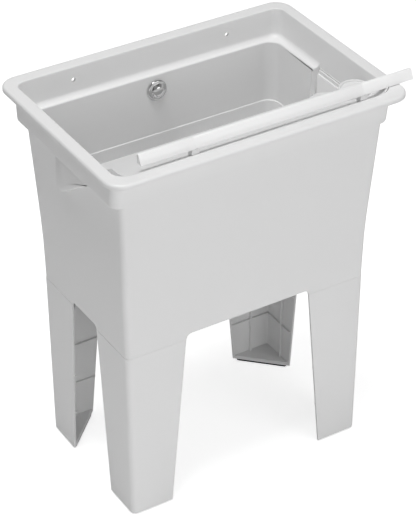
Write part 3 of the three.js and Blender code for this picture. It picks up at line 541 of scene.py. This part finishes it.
def basin(lip_z):
    """Deep basin: rounded rectangles from its edge down to the floor, then round to the waste hole.

    On the front side the upper rows are held down at the lip of the bed.
    """
    rows = []
    for z, x, front, back, r, fr in PIT:
        inner = x - fr - 0.1
        across = np.concatenate([[-inner], np.linspace(-200, 200, 9), [inner]])
        outline = ring(x, front, back, r, fr, across=across)
        held = (np.abs(outline[:, 1] + front) < 1e-6) & (np.abs(outline[:, 0]) <= inner + 1e-6)
        height = np.where(held, min(z, lip_z), z)
        if z > 760:
            corner = (outline[:, 1] < -front + fr + 0.01) & ~held
            height = np.where(corner, END_TOP, height)
        rows.append(lift(outline, height))
    rows += waste_hole(rows[-1], FLOOR_TOP, 25.0)
    return patch(np.stack(rows), wrap=True, seen_from=(0, WASTE_Y, 1500))


def waste_hole(outline, z, radius):
    """Rows from an outline in to the circle of the waste hole, each point kept at its own bearing."""
    bearing = np.arctan2(outline[:, 1] - WASTE_Y, outline[:, 0])
    circle = np.column_stack([radius * np.cos(bearing), WASTE_Y + radius * np.sin(bearing)])
    return [outline + (lift(circle, z) - outline) * t for t in (0.4, 0.75, 1.0)]


def underside():
    """Outside of the basin seen from below, closed to the waste hole, and the sheet under the bed."""
    shell = []
    for z, x, front, back, r, fr in PIT[1:]:
        grow = 8.6 if z > 700 else 5.0
        shell.append((z - 2.0, x + grow, front + SKIN, back + 5.0, r + SKIN, fr + SKIN))
    shell[-1] = (FLOOR_LOW,) + shell[-1][1:]
    top = (748.0, 285.0, -33.5, 183.5, 30.5, 7.5)
    rows = [lift(ring(*level[1:]), level[0]) for level in [top] + shell]
    for row in rows:
        row[:, 2] = np.where(row[:, 1] < 45.0, np.minimum(row[:, 2], bed(33.5) - 4.0), row[:, 2])
    rows += waste_hole(rows[-1], FLOOR_LOW, 25.5)
    pit_back = patch(np.stack(rows), wrap=True, away_from=(0, WASTE_Y, 650))
    y, x = np.meshgrid(np.linspace(-181, 36, 12), np.linspace(-285, 285, 9), indexing="ij")
    sheet = np.stack([x, y, bed(y) - BED_SKIN], axis=-1)
    return [pit_back, patch(sheet, seen_from=(0, 0, -2000))]


def bulge(side):
    """Raised outside of the bay: a five-sided outline carried out along X.

    Each row moves the outline's points by a distance towards their middle, or away from it: so the
    root spreads on the apron and the outer edge is rounded 5 mm.
    """
    outline = np.array([
        [42.5, 762], [-94, 762], [-92, 751.5], [-82, 749], [20, 678.2], [26, 675.6],
        [34, 675.9], [39, 678.5], [42, 683], [42.5, 686],
    ])
    middle = outline.mean(axis=0)
    rows = []
    reach = np.linalg.norm(outline - middle, axis=1, keepdims=True)
    at_top = outline[:, 1] > 760
    start = np.where(at_top, 292.5, 279.0)  # at the top outside the bay's own wall, and with no spread
    root = [
        (np.maximum(start, x), np.where(at_top, 0.0, -spread)[:, None])
        for x, spread in ((279.0, 9.0), (286.5, 4.5), (290.5, 1.6))
    ]
    for x, shrink in root + [(294.5, 0.0), (296.8, 0.7), (298.6, 2.4), (299.5, 5.0), (299.5, 40.0)]:
        shaped = outline + (middle - outline) / reach * np.minimum(shrink, reach)
        rows.append(np.column_stack([np.broadcast_to(side * x, len(outline)), shaped]))
    rows.append(np.broadcast_to([side * 299.5, *middle], rows[-1].shape))
    return patch(np.stack(rows), wrap=True, away_from=(side * 280, middle[0], middle[1]))


def soap_dish():
    """Round boss with a shallow dish: a turned profile with 2 mm rounded rims."""
    edge = [(30 + 2 * math.sin(a), 804 + 2 * math.cos(a)) for a in arc(90, 0, 5)]
    inside = [(28.6 - 1.6 * math.sin(a), 804.4 + 1.6 * math.cos(a)) for a in arc(0, 80, 4)]
    profile = [(32.0, 735.0)] + edge + inside + [(26.4, 803.3), (25.0, 803.0), (12, 803), (0.01, 803)]
    points = lathe(profile, (*SOAP_SPOT, 0.0), steps=48)
    return patch(points, wrap=True, away_from=(*SOAP_SPOT, 700))


def build_tub(material):
    """The moulded tub: all its surfaces joined along their edges, with both ends of each fixing hole."""
    outside, back = tub_outside()
    section, strip, splash = rear_strip()
    bed_patch, lip_z = bay()
    patches = [outside, strip, bed_patch, basin(lip_z), soap_dish()] + underside()
    for side in (-1, 1):
        patches += [end_wall(side, section), bulge(side)]
    for x in WALL_HOLES:
        patches.append(fixing_hole(x, (*splash, splash[1] + HOLE_DEEP), (x, 0, WALL_HOLE_Z)))
        patches.append(fixing_hole(x, (*back, back[1] - HOLE_DEEP), (x, 900, WALL_HOLE_Z)))
    return make_mesh("tub", patches, material, weld=True)


# ---- legs
LEG_LOW, LEG_HIGH = 4.3, 391.7
RIB, RIB_OUT, RIB_IN = 2.5, 2.0, 9.5  # a rib's thickness, and its edges' distances from the leg's outside
TONGUE_LOW = 374.0


def leg_paths(z):
    """Outer and inner outline of a leg's wall at a height, in the +X +Y corner, and its four limits."""
    t = (LEG_HIGH - z) / (LEG_HIGH - LEG_LOW)
    out_x, out_y = 273.8 - 4.8 * t, 167.5 + 0.7 * t
    in_x, in_y = 141.5 + 35.5 * t, 49.5 + 28.5 * t
    turn = arc(0, 90, 9)

    def corner(inset, r):
        """Both walls' line, an inset inside the outside: straight, a quarter circle, straight."""
        x, y = out_x - inset, out_y - inset
        bend = np.column_stack([x - r + r * np.cos(turn), y - r + r * np.sin(turn)])
        return np.concatenate([[[x, in_y]], bend, [[in_x, y]]])

    return corner(0.0, 12.0), corner(SKIN, 5.0), (out_x, out_y, in_x, in_y)


def corner_plate(z0, z1, inset):
    """Flat plate that fills the corner between both walls, with a straight slanting inner edge."""
    outer, _, (out_x, out_y, in_x, in_y) = leg_paths(LEG_LOW)
    cut = inset * math.sqrt(2)
    bend = outer[1:-1] - inset
    edge = [
        (in_x + cut, out_y - inset), (in_x + cut, out_y - inset - SKIN),
        (out_x - inset - SKIN, in_y + cut), (out_x - inset, in_y + cut),
    ]
    return solid_grid(prism(np.concatenate([bend, edge]), z0, z1))


def tongue(top, out_x, out_y):
    """Angle that plugs up inside the apron's corner: an L with its corner cut at 45 degrees."""
    outer = [(out_x, 56.5), (out_x, out_y - 8), (out_x - 8, out_y), (148.5, out_y)]
    inner = [(264.1, 56.5), (264.1, 156.6), (262.1, 158.6), (148.5, 158.6)]
    return wall_grid(prism(outer, TONGUE_LOW, top), prism(inner, TONGUE_LOW, top))


def leg_patches():
    """Leg of the +X +Y corner: tapered angle wall, two levels of ribs, upright ribs, sole and tongue."""
    paths = {z: leg_paths(z) for z in (LEG_LOW, LEG_HIGH)}
    wall = wall_grid(*[np.stack([lift(path[k], z) for z, path in paths.items()]) for k in (0, 1)])
    parts = [wall, corner_plate(4.5, 13.3, 2.0)]
    for z in (97.9, 195.9):
        out_x, out_y, in_x, in_y = leg_paths(z)[2]
        parts.append(block((in_x + 2, out_y - RIB_IN, z), (out_x - 6, out_y - RIB_OUT, z + RIB)))
        parts.append(block((out_x - RIB_IN, in_y + 2, z), (out_x - RIB_OUT, out_y - 6, z + RIB)))
    low_x, high_y = paths[LEG_LOW][2][0], paths[LEG_HIGH][2][1]  # the walls' ends nearest the middle
    parts.append(block((217, high_y - RIB_IN, 12.3), (220, high_y - RIB_OUT, 371.7)))
    parts.append(block((low_x - RIB_IN, 106, 12.3), (low_x - RIB_OUT, 109, 371.7)))
    return parts + [tongue(428.0, 268.1, 162.6), tongue(391.4, 271.8, 165.5)]


def mirrored(patches, sx, sy):
    """The patches of the +X +Y corner set in another corner, faces turned round where that mirrors them."""
    flip = slice(None, None, int(sx * sy))
    return [(points * [sx, sy, 1], faces[:, flip]) for points, faces in patches]


# ---- waste
SEAT = 568.0  # height of the flange's underside, just clear of the basin floor
WASTE = (0.0, WASTE_Y, 0.0)
CROSS_HALF, CROSS_LOW, CROSS_TOP = 22, 546, 550
SPIGOT_Z = 486.0


def flange_patches():
    """Turned flange and tail of the waste with a cross of two bars in its bore."""
    profile = [
        (21, 512), (24.5, 512), (24.5, SEAT), (35, SEAT), (34.6, 569), (34, 569.7), (32, 570.3),
        (30, 570.5), (24, 570), (22.6, 569.4), (21.6, 567.6), (21, 565),
    ]
    return [tube_grid(profile, centre=WASTE)] + [
        block((-dx, WASTE_Y - dy, CROSS_LOW), (dx, WASTE_Y + dy, CROSS_TOP))
        for dx, dy in ((CROSS_HALF, 2), (2, CROSS_HALF))
    ]


def plug_patches():
    """Tapered rubber plug with a knob to lift it by."""
    low = SEAT - 15.5
    profile = [
        (0, low), (18.6, low), (19.2, low + 0.6), (19.6, low + 5), (19.2, low + 6), (20.0, low + 7.5),
        (20.4, low + 12.4), (19.8, low + 13), (5, low + 13), (4, low + 14), (4, low + 19),
        (4.6, low + 20.4), (6.2, low + 21.4), (6.5, low + 22.6), (6.4, low + 24.6), (5.2, low + 25.9),
        (0, low + 26.5),
    ]
    return [tube_grid(profile, centre=WASTE)]


def lobed_nut(radius, bore, low, high, lobes, notch, **placing):
    """Ring nut: its outer radius falls by notch (1 - cos(lobes t)) / 2, its outer edges rounded 0.8 mm."""
    edge, steps = 0.8, lobes * 16
    profile = [
        (bore, low), (radius - edge, low), (radius, low + edge), (radius, high - edge), (radius - edge, high),
        (bore, high), (bore, low),
    ]
    grid = lathe(profile, steps=steps, centre=(0, 0, 0))
    reach = np.linalg.norm(grid[..., :2], axis=-1)
    waist = 1 - notch * (0.5 - 0.5 * np.cos(lobes * full_turn(steps))) / radius
    waist = np.where(reach > bore + 1e-6, waist, 1.0)
    grid[..., :2] *= waist[..., None]
    return closed_grid(placed(grid, **placing))


def tee_patches():
    """Waste tee: stepped turned body and the spigot of the overflow hose."""
    body = [(17.5, 432), (20, 432), (20, 493.7), (24.5, 497.7), (24.5, 511.7), (17.5, 511.7)]
    spigot = [(7.5, 16.5), (9.7, 16.5), (9.7, 38), (9.2, 40), (7.5, 40)]
    return [tube_grid(body, centre=WASTE), tube_grid(spigot, centre=(0, WASTE_Y, SPIGOT_Z), axis="Y")]


# ---- overflow
CAP_Z = 732.0
WALL_LEAN = (PIT[0][3] - PIT[1][3]) / (PIT[0][0] - PIT[1][0])  # of the basin's rear wall
WALL_TILT = -math.atan(WALL_LEAN)
WALL_SPOT = (0.0, PIT[1][3] + (CAP_Z - PIT[1][0]) * WALL_LEAN, CAP_Z)
WALL_DEEP = (177.5 + (CAP_Z - 636) * 7.5 / 116 - WALL_SPOT[1]) * math.cos(WALL_TILT)  # to the apron's back
ELBOW_Y = WALL_DEEP + 20
ON_WALL = {"centre": WALL_SPOT, "axis": "Y", "tilt": WALL_TILT}


def cap_patches():
    """Chrome cap: a dome over a broad ring, six windows between them, and the neck that plugs in.

    One closed profile turned about the axis, with the quads of each window left out on both faces
    and a rim put in round it.
    """
    windows, steps, seat = 6, 96, -2.3
    outer = [
        (0, -9.5), (3, -9.42), (6, -8.95), (9, -7.95), (11.4, -6.5), (12.6, -5.2), (14.0, -3.6), (14.9, -2.7),
    ]
    flange = [(16.5, -2.45), (18.5, -2.4), (20, -1.9), (21, -1.1), (21.4, -0.5), (21.5, 0), (11, 0)]
    inner = [(10.7, 0), (10.7, 8), (8.5, 8), (8.5, -3.2), (8.5, -5.6), (6, -6.3), (3, -6.65), (0, -6.8)]
    grid = lathe([(r, h + seat) for r, h in outer + flange + inner], steps=steps, **ON_WALL)
    faces = grid_faces(*grid.shape[:2], True)
    keep = np.ones(faces.shape[:2], bool)
    first_out, first_in = 5, len(outer) + len(flange) + 3
    rims = []
    for window in range(windows):
        span = (np.arange(-3, 4) + window * steps // windows) % steps
        keep[first_out, span[:-1]] = False
        keep[first_in, span[:-1]] = False
        loops = [
            np.concatenate([grid[top, span], grid[low, span[::-1]], grid[top, span[:1]]])
            for top, low in ((first_out, first_out + 1), (first_in + 1, first_in))
        ]
        rims.append(patch(np.stack(loops), away_from=(0, 0, 0)))
    return [outward(grid.reshape(-1, 3), faces[keep])] + rims


def elbow_patches(pitch):
    """Threaded sleeve through the wall and the elbow that turns down behind it.

    The thread's crest swings 0.35 mm either side of 13.85 mm once in every pitch.
    """
    radius, wall = 9.7, 2.5
    path = np.concatenate([
        [(0, WALL_DEEP + 4, 0)],
        bezier([(0, ELBOW_Y - 12, 0), (0, ELBOW_Y, 0), (0, ELBOW_Y, -12)], 12),
        [(0, ELBOW_Y, -34)],
    ])
    pipe = pipe_wall(*[placed(swept(path, r), WALL_SPOT, tilt=WALL_TILT) for r in (radius, radius - wall)])
    start, stop = 0.3, WALL_DEEP + 10
    thread_y = np.arange(start + 1, stop - 2, pitch / 4)
    crest = 14.2 - 0.35 * (1 + np.cos(2 * math.pi * thread_y / pitch))
    sleeve = [
        (11.3, start), (13.5, start), *zip(crest, thread_y), (14.2, stop), (8.2, stop), (8.2, stop - 2),
        (11.3, stop - 2),
    ]
    return [pipe, tube_grid(sleeve, **ON_WALL)]


def hose_patches(pitch):
    """Corrugated hose: its outer radius swings 0.6 mm either side of 12 mm once in every pitch."""
    drop = np.array([(0.0, ELBOW_Y, z) for z in (-18, -194, -232)])
    top, low, pull = placed(drop, WALL_SPOT, tilt=WALL_TILT)
    port = (0, 148, SPIGOT_Z)
    path = np.concatenate([
        np.linspace(top, low, 60)[:-1],
        bezier([low, pull, (0, 180, SPIGOT_Z), port], 60)[:-1],
        np.linspace(port, (0, WASTE_Y + 25.5, SPIGOT_Z), 8),
    ])
    length = np.concatenate([[0], np.cumsum(np.linalg.norm(np.diff(path, axis=0), axis=1))])
    even = np.linspace(0, length[-1], int(length[-1] / 0.8))
    path = np.stack([np.interp(even, length, path[:, i]) for i in range(3)], axis=-1)
    ribs = 12.0 - 0.6 * np.cos(2 * math.pi * even / pitch)
    return [pipe_wall(swept(path, ribs), swept(path, 10.0))]


# ---- front rail
RAIL_SHIFT = 55.0  # of the rail's middle, to the right
RAIL_HALF, FOOT_X = 299.0, 185.0
FOOT_FRONT, FOOT_BACK, FOOT_TOP, FOOT_HALF = -185.5, -172.0, 825.7, 8.0
RAIL_SECTION = [(-186, 826), (-170, 826), (-170, 844), (-171.5, 845.5), (-175.75, 845.5), (-177, 844.75)]


def rail_patches(groove):
    """Rail: its section carried along X, drawn in by the groove's depth over each foot."""
    outline = np.array(RAIL_SECTION, float)
    middle = outline.mean(axis=0)
    grooves = [side * FOOT_X + d for side in (-1, 1) for d in (-0.9, -0.3, 0.3, 0.9)]
    x = np.array([-RAIL_HALF, *grooves, RAIL_HALF])
    deep = np.where(np.abs(np.abs(x) - FOOT_X) < 0.5, groove, 0.0)[:, None, None]
    inward = (middle - outline) / np.linalg.norm(outline - middle, axis=1, keepdims=True)
    section = outline + inward * deep
    along = np.broadcast_to((x + RAIL_SHIFT)[:, None, None], (len(x), len(outline), 1))
    return [solid_grid(np.concatenate([along, section], axis=-1))]


def foot_patches(side):
    """Foot of the rail: a block whose sole lies on the slope of the bed."""
    x = RAIL_SHIFT + side * FOOT_X
    y = [FOOT_FRONT, FOOT_BACK, FOOT_BACK, FOOT_FRONT]
    z = [bed(FOOT_FRONT) + 0.3, bed(FOOT_BACK) + 0.3, FOOT_TOP, FOOT_TOP]
    ends = [np.column_stack([np.full(4, x + d), y, z]) for d in (-FOOT_HALF, FOOT_HALF)]
    return [solid_grid(np.stack(ends))]


# ---- materials
WHITE = (1.0, 1.0, 1.0, 1.0)


def srgb(code):
    """Linear colour of an sRGB hex value."""
    channels = [int(code[i : i + 2], 16) / 255 for i in (1, 3, 5)]
    return tuple(c / 12.92 if c <= 0.04045 else ((c + 0.055) / 1.055) ** 2.4 for c in channels) + (1.0,)


def add_node(tree, kind, settings, *sources, **links):
    """Adds a node, sets its properties and values, and links its sockets, in order or by keyword."""
    made = tree.nodes.new(kind)
    for key, value in settings.items():
        if key in made.inputs:
            made.inputs[key].default_value = value
        else:
            setattr(made, key, value)
    for key, source in [*enumerate(sources), *links.items()]:
        tree.links.new(source, made.inputs[key])
    return made


def finish_material(name, colour, roughness, metallic=0.0, ior=None, grain=None):
    """Principled material; grain is (size in mm, bump height in mm) of its moulded or cast texture."""
    material = bpy.data.materials.new(name)
    material.use_nodes = True
    tree = material.node_tree
    shader = tree.nodes["Principled BSDF"]
    shader.inputs["Base Color"].default_value = srgb(colour)
    shader.inputs["Roughness"].default_value = roughness
    shader.inputs["Metallic"].default_value = metallic
    if ior is not None:
        shader.inputs["IOR"].default_value = ior
    if grain is not None:
        size, height = grain
        spot = add_node(tree, "ShaderNodeTexCoord", {})
        spots = {"Scale": 1 / (size * MM), "Detail": 2.0}
        noise = add_node(tree, "ShaderNodeTexNoise", spots, Vector=spot.outputs["Object"])
        depth = {"Strength": 0.5, "Distance": height * MM}
        bump = add_node(tree, "ShaderNodeBump", depth, Height=noise.outputs["Fac"])
        tree.links.new(bump.outputs["Normal"], shader.inputs["Normal"])
    return material


def materials(look):
    """The finishes of the sink's pieces, made once."""
    if "moulded polypropylene" not in bpy.data.materials:
        # Polypropylene from a lightly textured mould: soft broad highlights, no visible grain.
        finish_material("moulded polypropylene", look.tub_colour, 0.32, ior=1.49, grain=(1.6, 0.01))
        # Smooth extruded and moulded ABS: whiter and a little glossier than the tub.
        finish_material("smooth white ABS", look.rail_colour, 0.34, ior=1.53)
        # Moulded rubber: nearly black and matt.
        finish_material("moulded rubber", "#26272A", 0.75, ior=1.52, grain=(0.8, 0.02))
        # Bright chrome plate: mirrors the room, with a slight blur from the moulded base.
        finish_material("bright chrome plate", "#CFCFCF", 0.13, metallic=1.0)
        # Zinc-plated steel screws: dull grey metal.
        finish_material("zinc plated steel", "#A9ABAD", 0.34, metallic=1.0)
        # Plain moulded fitting plastic, slightly warm white.
        finish_material("moulded fitting plastic", "#E7E7E3", 0.48, ior=1.49)
    return bpy.data.materials


def finishes(look, *names):
    """The named finishes, by default the three of the waste and the overflow."""
    names = names or ("bright chrome plate", "moulded rubber", "moulded fitting plastic")
    return [materials(look)[name] for name in names]


# ---- settings
class SinkLook(bpy.types.PropertyGroup):
    """Fine sizes, colours and light a user would change; the other sizes follow the CAD part."""

    edge_radius: bpy.props.FloatProperty(
        name="Edge radius", description="Rounding of the edges of the legs, the rail and its feet",
        default=0.0005, min=0.0, max=0.002, precision=5, unit="LENGTH",
    )
    groove_depth: bpy.props.FloatProperty(
        name="Groove depth", description="Depth of the two grooves round the rail", default=0.00035,
        min=0.0, max=0.002, precision=5, unit="LENGTH",
    )
    hose_pitch: bpy.props.FloatProperty(
        name="Hose pitch", description="Length of one corrugation of the overflow hose", default=0.005,
        min=0.003, max=0.02, precision=5, unit="LENGTH",
    )
    thread_pitch: bpy.props.FloatProperty(
        name="Thread pitch", description="Pitch of the thread on the overflow's sleeve", default=0.002,
        min=0.001, max=0.005, precision=5, unit="LENGTH",
    )
    tub_colour: bpy.props.StringProperty(
        name="Tub colour", description="sRGB hex value of the tub and legs", default="#E6E6E6"
    )
    rail_colour: bpy.props.StringProperty(
        name="Rail colour", description="sRGB hex value of the loose rail", default="#F0F0F0"
    )
    overhead_power: bpy.props.FloatProperty(
        name="Overhead light", description="Power of the soft light above", default=84.0, min=0.0,
        unit="POWER",
    )
    front_power: bpy.props.FloatProperty(
        name="Front light", description="Power of the soft light at the front", default=18.0, min=0.0,
        unit="POWER",
    )
    fill_power: bpy.props.FloatProperty(
        name="Low fill light", description="Power of the low soft light at the front", default=15.0, min=0.0,
        unit="POWER",
    )
    sky: bpy.props.FloatProperty(
        name="Room light", description="Strength of the even light of the room", default=0.29, min=0.0,
        soft_max=2.0,
    )


def in_mm(length):
    """Millimetres of a length property, rounded to rid it of the tail that single precision leaves."""
    return round(length / MM, 4)


class SINK_OT_tub(bpy.types.Operator):
    """Makes the moulded tub: rim, splash, ledge, scrub bed, basin and apron"""

    bl_idname = "sink.tub"
    bl_label = "Tub"

    def execute(self, context):
        tub = build_tub(materials(context.scene.sink_look)["moulded polypropylene"])
        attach(tub, "sink")
        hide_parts("tub_body")
        return {"FINISHED"}


def settle(obj, body, node):
    """Ties a piece to its moving body and hides the node it stands for."""
    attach(obj, body)
    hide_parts(node)


class SINK_OT_legs(bpy.types.Operator):
    """Makes the four corner legs, their rubber glides and their screws"""

    bl_idname = "sink.legs"
    bl_label = "Legs"

    def execute(self, context):
        names = ("moulded polypropylene", "moulded rubber", "zinc plated steel")
        look = context.scene.sink_look
        plastic, rubber, steel = finishes(look, *names)
        edge = in_mm(look.edge_radius)
        profile = [
            (0, -2.6), (2.6, -2.6), (3.4, -2.35), (4.2, -1.6), (4.5, -0.7), (4.5, 0), (2, 0), (2, 6.2),
            (1.3, 6.6), (0, 6.6),
        ]
        screw = tube_grid(profile, centre=(263.8, 112.0, 412.0), axis="X", steps=32)
        for end, sy in (("front", -1), ("rear", 1)):
            for side, sx in (("left", -1), ("right", 1)):
                place = f"{end}_{side}"
                leg = make_mesh(f"moulded_leg_{place}", mirrored(leg_patches(), sx, sy), plastic, edge=edge)
                settle(leg, "sink", f"leg_{place}")
                sole = mirrored([corner_plate(0.0, 4.0, 5.0)], sx, sy)
                glide = make_mesh(f"rubber_glide_{place}", sole, rubber, edge=0.6)
                settle(glide, "sink", f"glide_{place}")
                plated = make_mesh(f"plated_screw_{place}", mirrored([screw], sx, sy), steel)
                settle(plated, "sink", f"leg_screw_{place}")
        return {"FINISHED"}


def make_fittings(*rows):
    """Makes pieces fixed to the sink from their name, node, patches, finish, slot and edge rounding."""
    for name, node, patches, finish, slot, *edge in rows:
        settle(make_mesh(name, patches, finish, edge=edge[0] if edge else None), "sink", node)


class SINK_OT_waste(bpy.types.Operator):
    """Makes the waste: flange, gasket, washer, nut, tee and rubber plug"""

    bl_idname = "sink.waste"
    bl_label = "Waste"

    def execute(self, context):
        chrome, rubber, fitting = finishes(context.scene.sink_look)
        gasket = [(24.8, FLOOR_TOP + 0.3), (33, FLOOR_TOP + 0.3), (33, SEAT - 0.3), (24.8, SEAT - 0.3)]
        washer = [(24.8, 557.7), (34.4, 557.7), (35, 558.3), (35, 560.1), (34.4, 560.7), (24.8, 560.7)]
        nut = lobed_nut(38, 24.8, 545.4, 557.4, 8, 3.0, centre=WASTE)
        make_fittings(
            ("chrome_flange", "waste_flange", flange_patches(), chrome, "chrome"),
            ("flange_seal", "waste_gasket", [tube_grid(gasket, centre=WASTE)], rubber, "rubber"),
            ("nut_washer", "waste_washer", [tube_grid(washer, centre=WASTE)], rubber, "rubber"),
            ("lobed_waste_nut", "waste_nut", [nut], fitting, "fitting_plastic", 0.3),
            ("branch_tee", "waste_tee", tee_patches(), fitting, "fitting_plastic", 0.5),
        )
        settle(make_mesh("rubber_plug", plug_patches(), rubber), "plug", "waste_plug")
        return {"FINISHED"}


class SINK_OT_overflow(bpy.types.Operator):
    """Makes the overflow: chrome cap, gasket, threaded body with its elbow, nut and hose"""

    bl_idname = "sink.overflow"
    bl_label = "Overflow"

    def execute(self, context):
        look = context.scene.sink_look
        chrome, rubber, fitting = finishes(look)
        elbow, hose = elbow_patches(in_mm(look.thread_pitch)), hose_patches(in_mm(look.hose_pitch))
        gasket = [(11.3, -2.0), (19.6, -2.0), (20, -1.6), (20, -0.7), (19.6, -0.3), (11.3, -0.3)]
        nut = lobed_nut(17, 14.5, WALL_DEEP + 0.3, WALL_DEEP + 6.5, 8, 0.9, **ON_WALL)
        make_fittings(
            ("chrome_cap", "overflow_cap", cap_patches(), chrome, "chrome"),
            ("cap_seal", "overflow_gasket", [tube_grid(gasket, **ON_WALL)], rubber, "rubber"),
            ("threaded_elbow", "overflow_body", elbow, fitting, "fitting_plastic"),
            ("lobed_wall_nut", "overflow_nut", [nut], fitting, "fitting_plastic"),
            ("corrugated_hose", "overflow_hose", hose, fitting, "hose_plastic"),
        )
        return {"FINISHED"}


class SINK_OT_rail(bpy.types.Operator):
    """Makes the loose rail across the front of the mouth and its two feet"""

    bl_idname = "sink.rail"
    bl_label = "Front rail"

    def execute(self, context):
        look = context.scene.sink_look
        finish, edge = materials(look)["smooth white ABS"], in_mm(look.edge_radius)
        bar = rail_patches(in_mm(look.groove_depth))
        rail = make_mesh("moulded_rail", bar, finish, sharp=30, edge=edge)
        settle(rail, "rail", "front_rail")
        for name, side in (("left", -1), ("right", 1)):
            foot = make_mesh(f"moulded_rail_foot_{name}", foot_patches(side), finish, edge=edge)
            settle(foot, "rail_feet", f"rail_foot_{name}")
        return {"FINISHED"}


class SINK_OT_stage(bpy.types.Operator):
    """Sets up the pale floor, the soft studio light and the camera"""

    bl_idname = "sink.stage"
    bl_label = "Stage"

    def execute(self, context):
        look = context.scene.sink_look
        build_floor()
        build_world(look.sky)
        soft_light("overhead light", (-0.65, -0.2, 4.2), (1.4, 1.4), look.overhead_power)
        soft_light("front light", (1.1, -3.0, 1.9), (2.0, 1.6), look.front_power)
        soft_light("low fill light", (-0.9, -2.8, 0.3), (1.6, 0.5), look.fill_power)
        build_camera()
        context.scene.view_settings.view_transform = "Standard"
        return {"FINISHED"}


def build_floor():
    """Matt white floor that the camera sees as white paper, darkened only by the object's shadow."""
    floor = bpy.data.materials.new("white paper floor")
    floor.use_nodes = True
    tree = floor.node_tree
    tree.nodes.remove(tree.nodes["Principled BSDF"])
    matt = add_node(tree, "ShaderNodeBsdfDiffuse", {"Color": srgb("#F6F6F6")})
    path = add_node(tree, "ShaderNodeLightPath", {})
    share = add_node(tree, "ShaderNodeMath", {"operation": "MULTIPLY"}, path.outputs["Is Camera Ray"])
    share.inputs[1].default_value = 0.65  # glow for the camera alone
    glow = add_node(tree, "ShaderNodeEmission", {"Color": WHITE}, Strength=share.outputs[0])
    both = add_node(tree, "ShaderNodeAddShader", {}, matt.outputs[0], glow.outputs[0])
    tree.links.new(both.outputs[0], tree.nodes["Material Output"].inputs["Surface"])
    mesh = bpy.data.meshes.new("floor")
    corners = [(9.0 * x, 9.0 * y, 0) for x, y in ((-1, -1), (1, -1), (1, 1), (-1, 1))]
    mesh.from_pydata(corners, [], [(0, 1, 2, 3)])
    mesh.materials.append(floor)
    add_object("floor", mesh)


def build_world(strength):
    """Even room light, which the camera alone sees as plain white."""
    world = bpy.data.worlds.new("studio room")
    world.use_nodes = True
    tree = world.node_tree
    path = add_node(tree, "ShaderNodeLightPath", {})
    level = add_node(tree, "ShaderNodeMix", {"data_type": "FLOAT"}, path.outputs["Is Camera Ray"])
    level.inputs[2].default_value = strength
    level.inputs[3].default_value = 1.0
    background = tree.nodes["Background"]
    background.inputs["Color"].default_value = WHITE
    tree.links.new(level.outputs[0], background.inputs["Strength"])
    bpy.context.scene.world = world


def soft_light(name, spot, size, power):
    """Large rectangular lamp aimed at the middle of the sink."""
    data = bpy.data.lights.new(name, "AREA")
    data.shape = "RECTANGLE"
    data.size, data.size_y = size
    data.energy = power
    lamp = add_object(name, data)
    lamp.location = spot
    lamp.rotation_euler = (Vector((0, 0, 0.5)) - Vector(spot)).to_track_quat("-Z", "Y").to_euler()


def build_camera():
    """Camera of the photograph: 31.6 degrees to the left of the front, looking 34.5 degrees down."""
    sensor, focal_px, height_px = 36.0, 2076.4, 517.0
    data = bpy.data.cameras.new("camera")
    data.sensor_width = sensor
    data.lens = sensor * focal_px / height_px
    data.clip_end = 60.0
    camera = add_object("camera", data)
    yaw, down = math.radians(31.592), math.radians(34.496)
    camera.location = ((-1782.4 + SHIFT) * MM, -2914.1 * MM, 2779.1 * MM)
    camera.rotation_euler = (math.pi / 2 - down, 0.0, -yaw)
    bpy.context.scene.camera = camera


class SINK_PT_panel(bpy.types.Panel):
    """Sidebar panel with the sink's pieces and its look"""

    bl_idname = "SINK_PT_panel"
    bl_label = "Laundry sink"
    bl_space_type = "VIEW_3D"
    bl_region_type = "UI"
    bl_category = "Sink"

    def draw(self, context):
        for name in SinkLook.__annotations__:
            self.layout.prop(context.scene.sink_look, name)
        for operator in OPERATORS:
            self.layout.operator(operator.bl_idname)


OPERATORS = (SINK_OT_tub, SINK_OT_legs, SINK_OT_waste, SINK_OT_overflow, SINK_OT_rail, SINK_OT_stage)
CLASSES = (SinkLook,) + OPERATORS + (SINK_PT_panel,)


def register():
    """Registers the settings, the operators and the panel."""
    for item in CLASSES:
        bpy.utils.register_class(item)
    bpy.types.Scene.sink_look = bpy.props.PointerProperty(type=SinkLook)


def unregister():
    """Takes them away again."""
    del bpy.types.Scene.sink_look
    for item in reversed(CLASSES):
        bpy.utils.unregister_class(item)


def main():
    """Makes every piece and the stage."""
    register()
    bpy.ops.sink.tub()
    bpy.ops.sink.legs()
    bpy.ops.sink.waste()
    bpy.ops.sink.overflow()
    bpy.ops.sink.rail()
    bpy.ops.sink.stage()


if __name__ == "__main__":
    main()
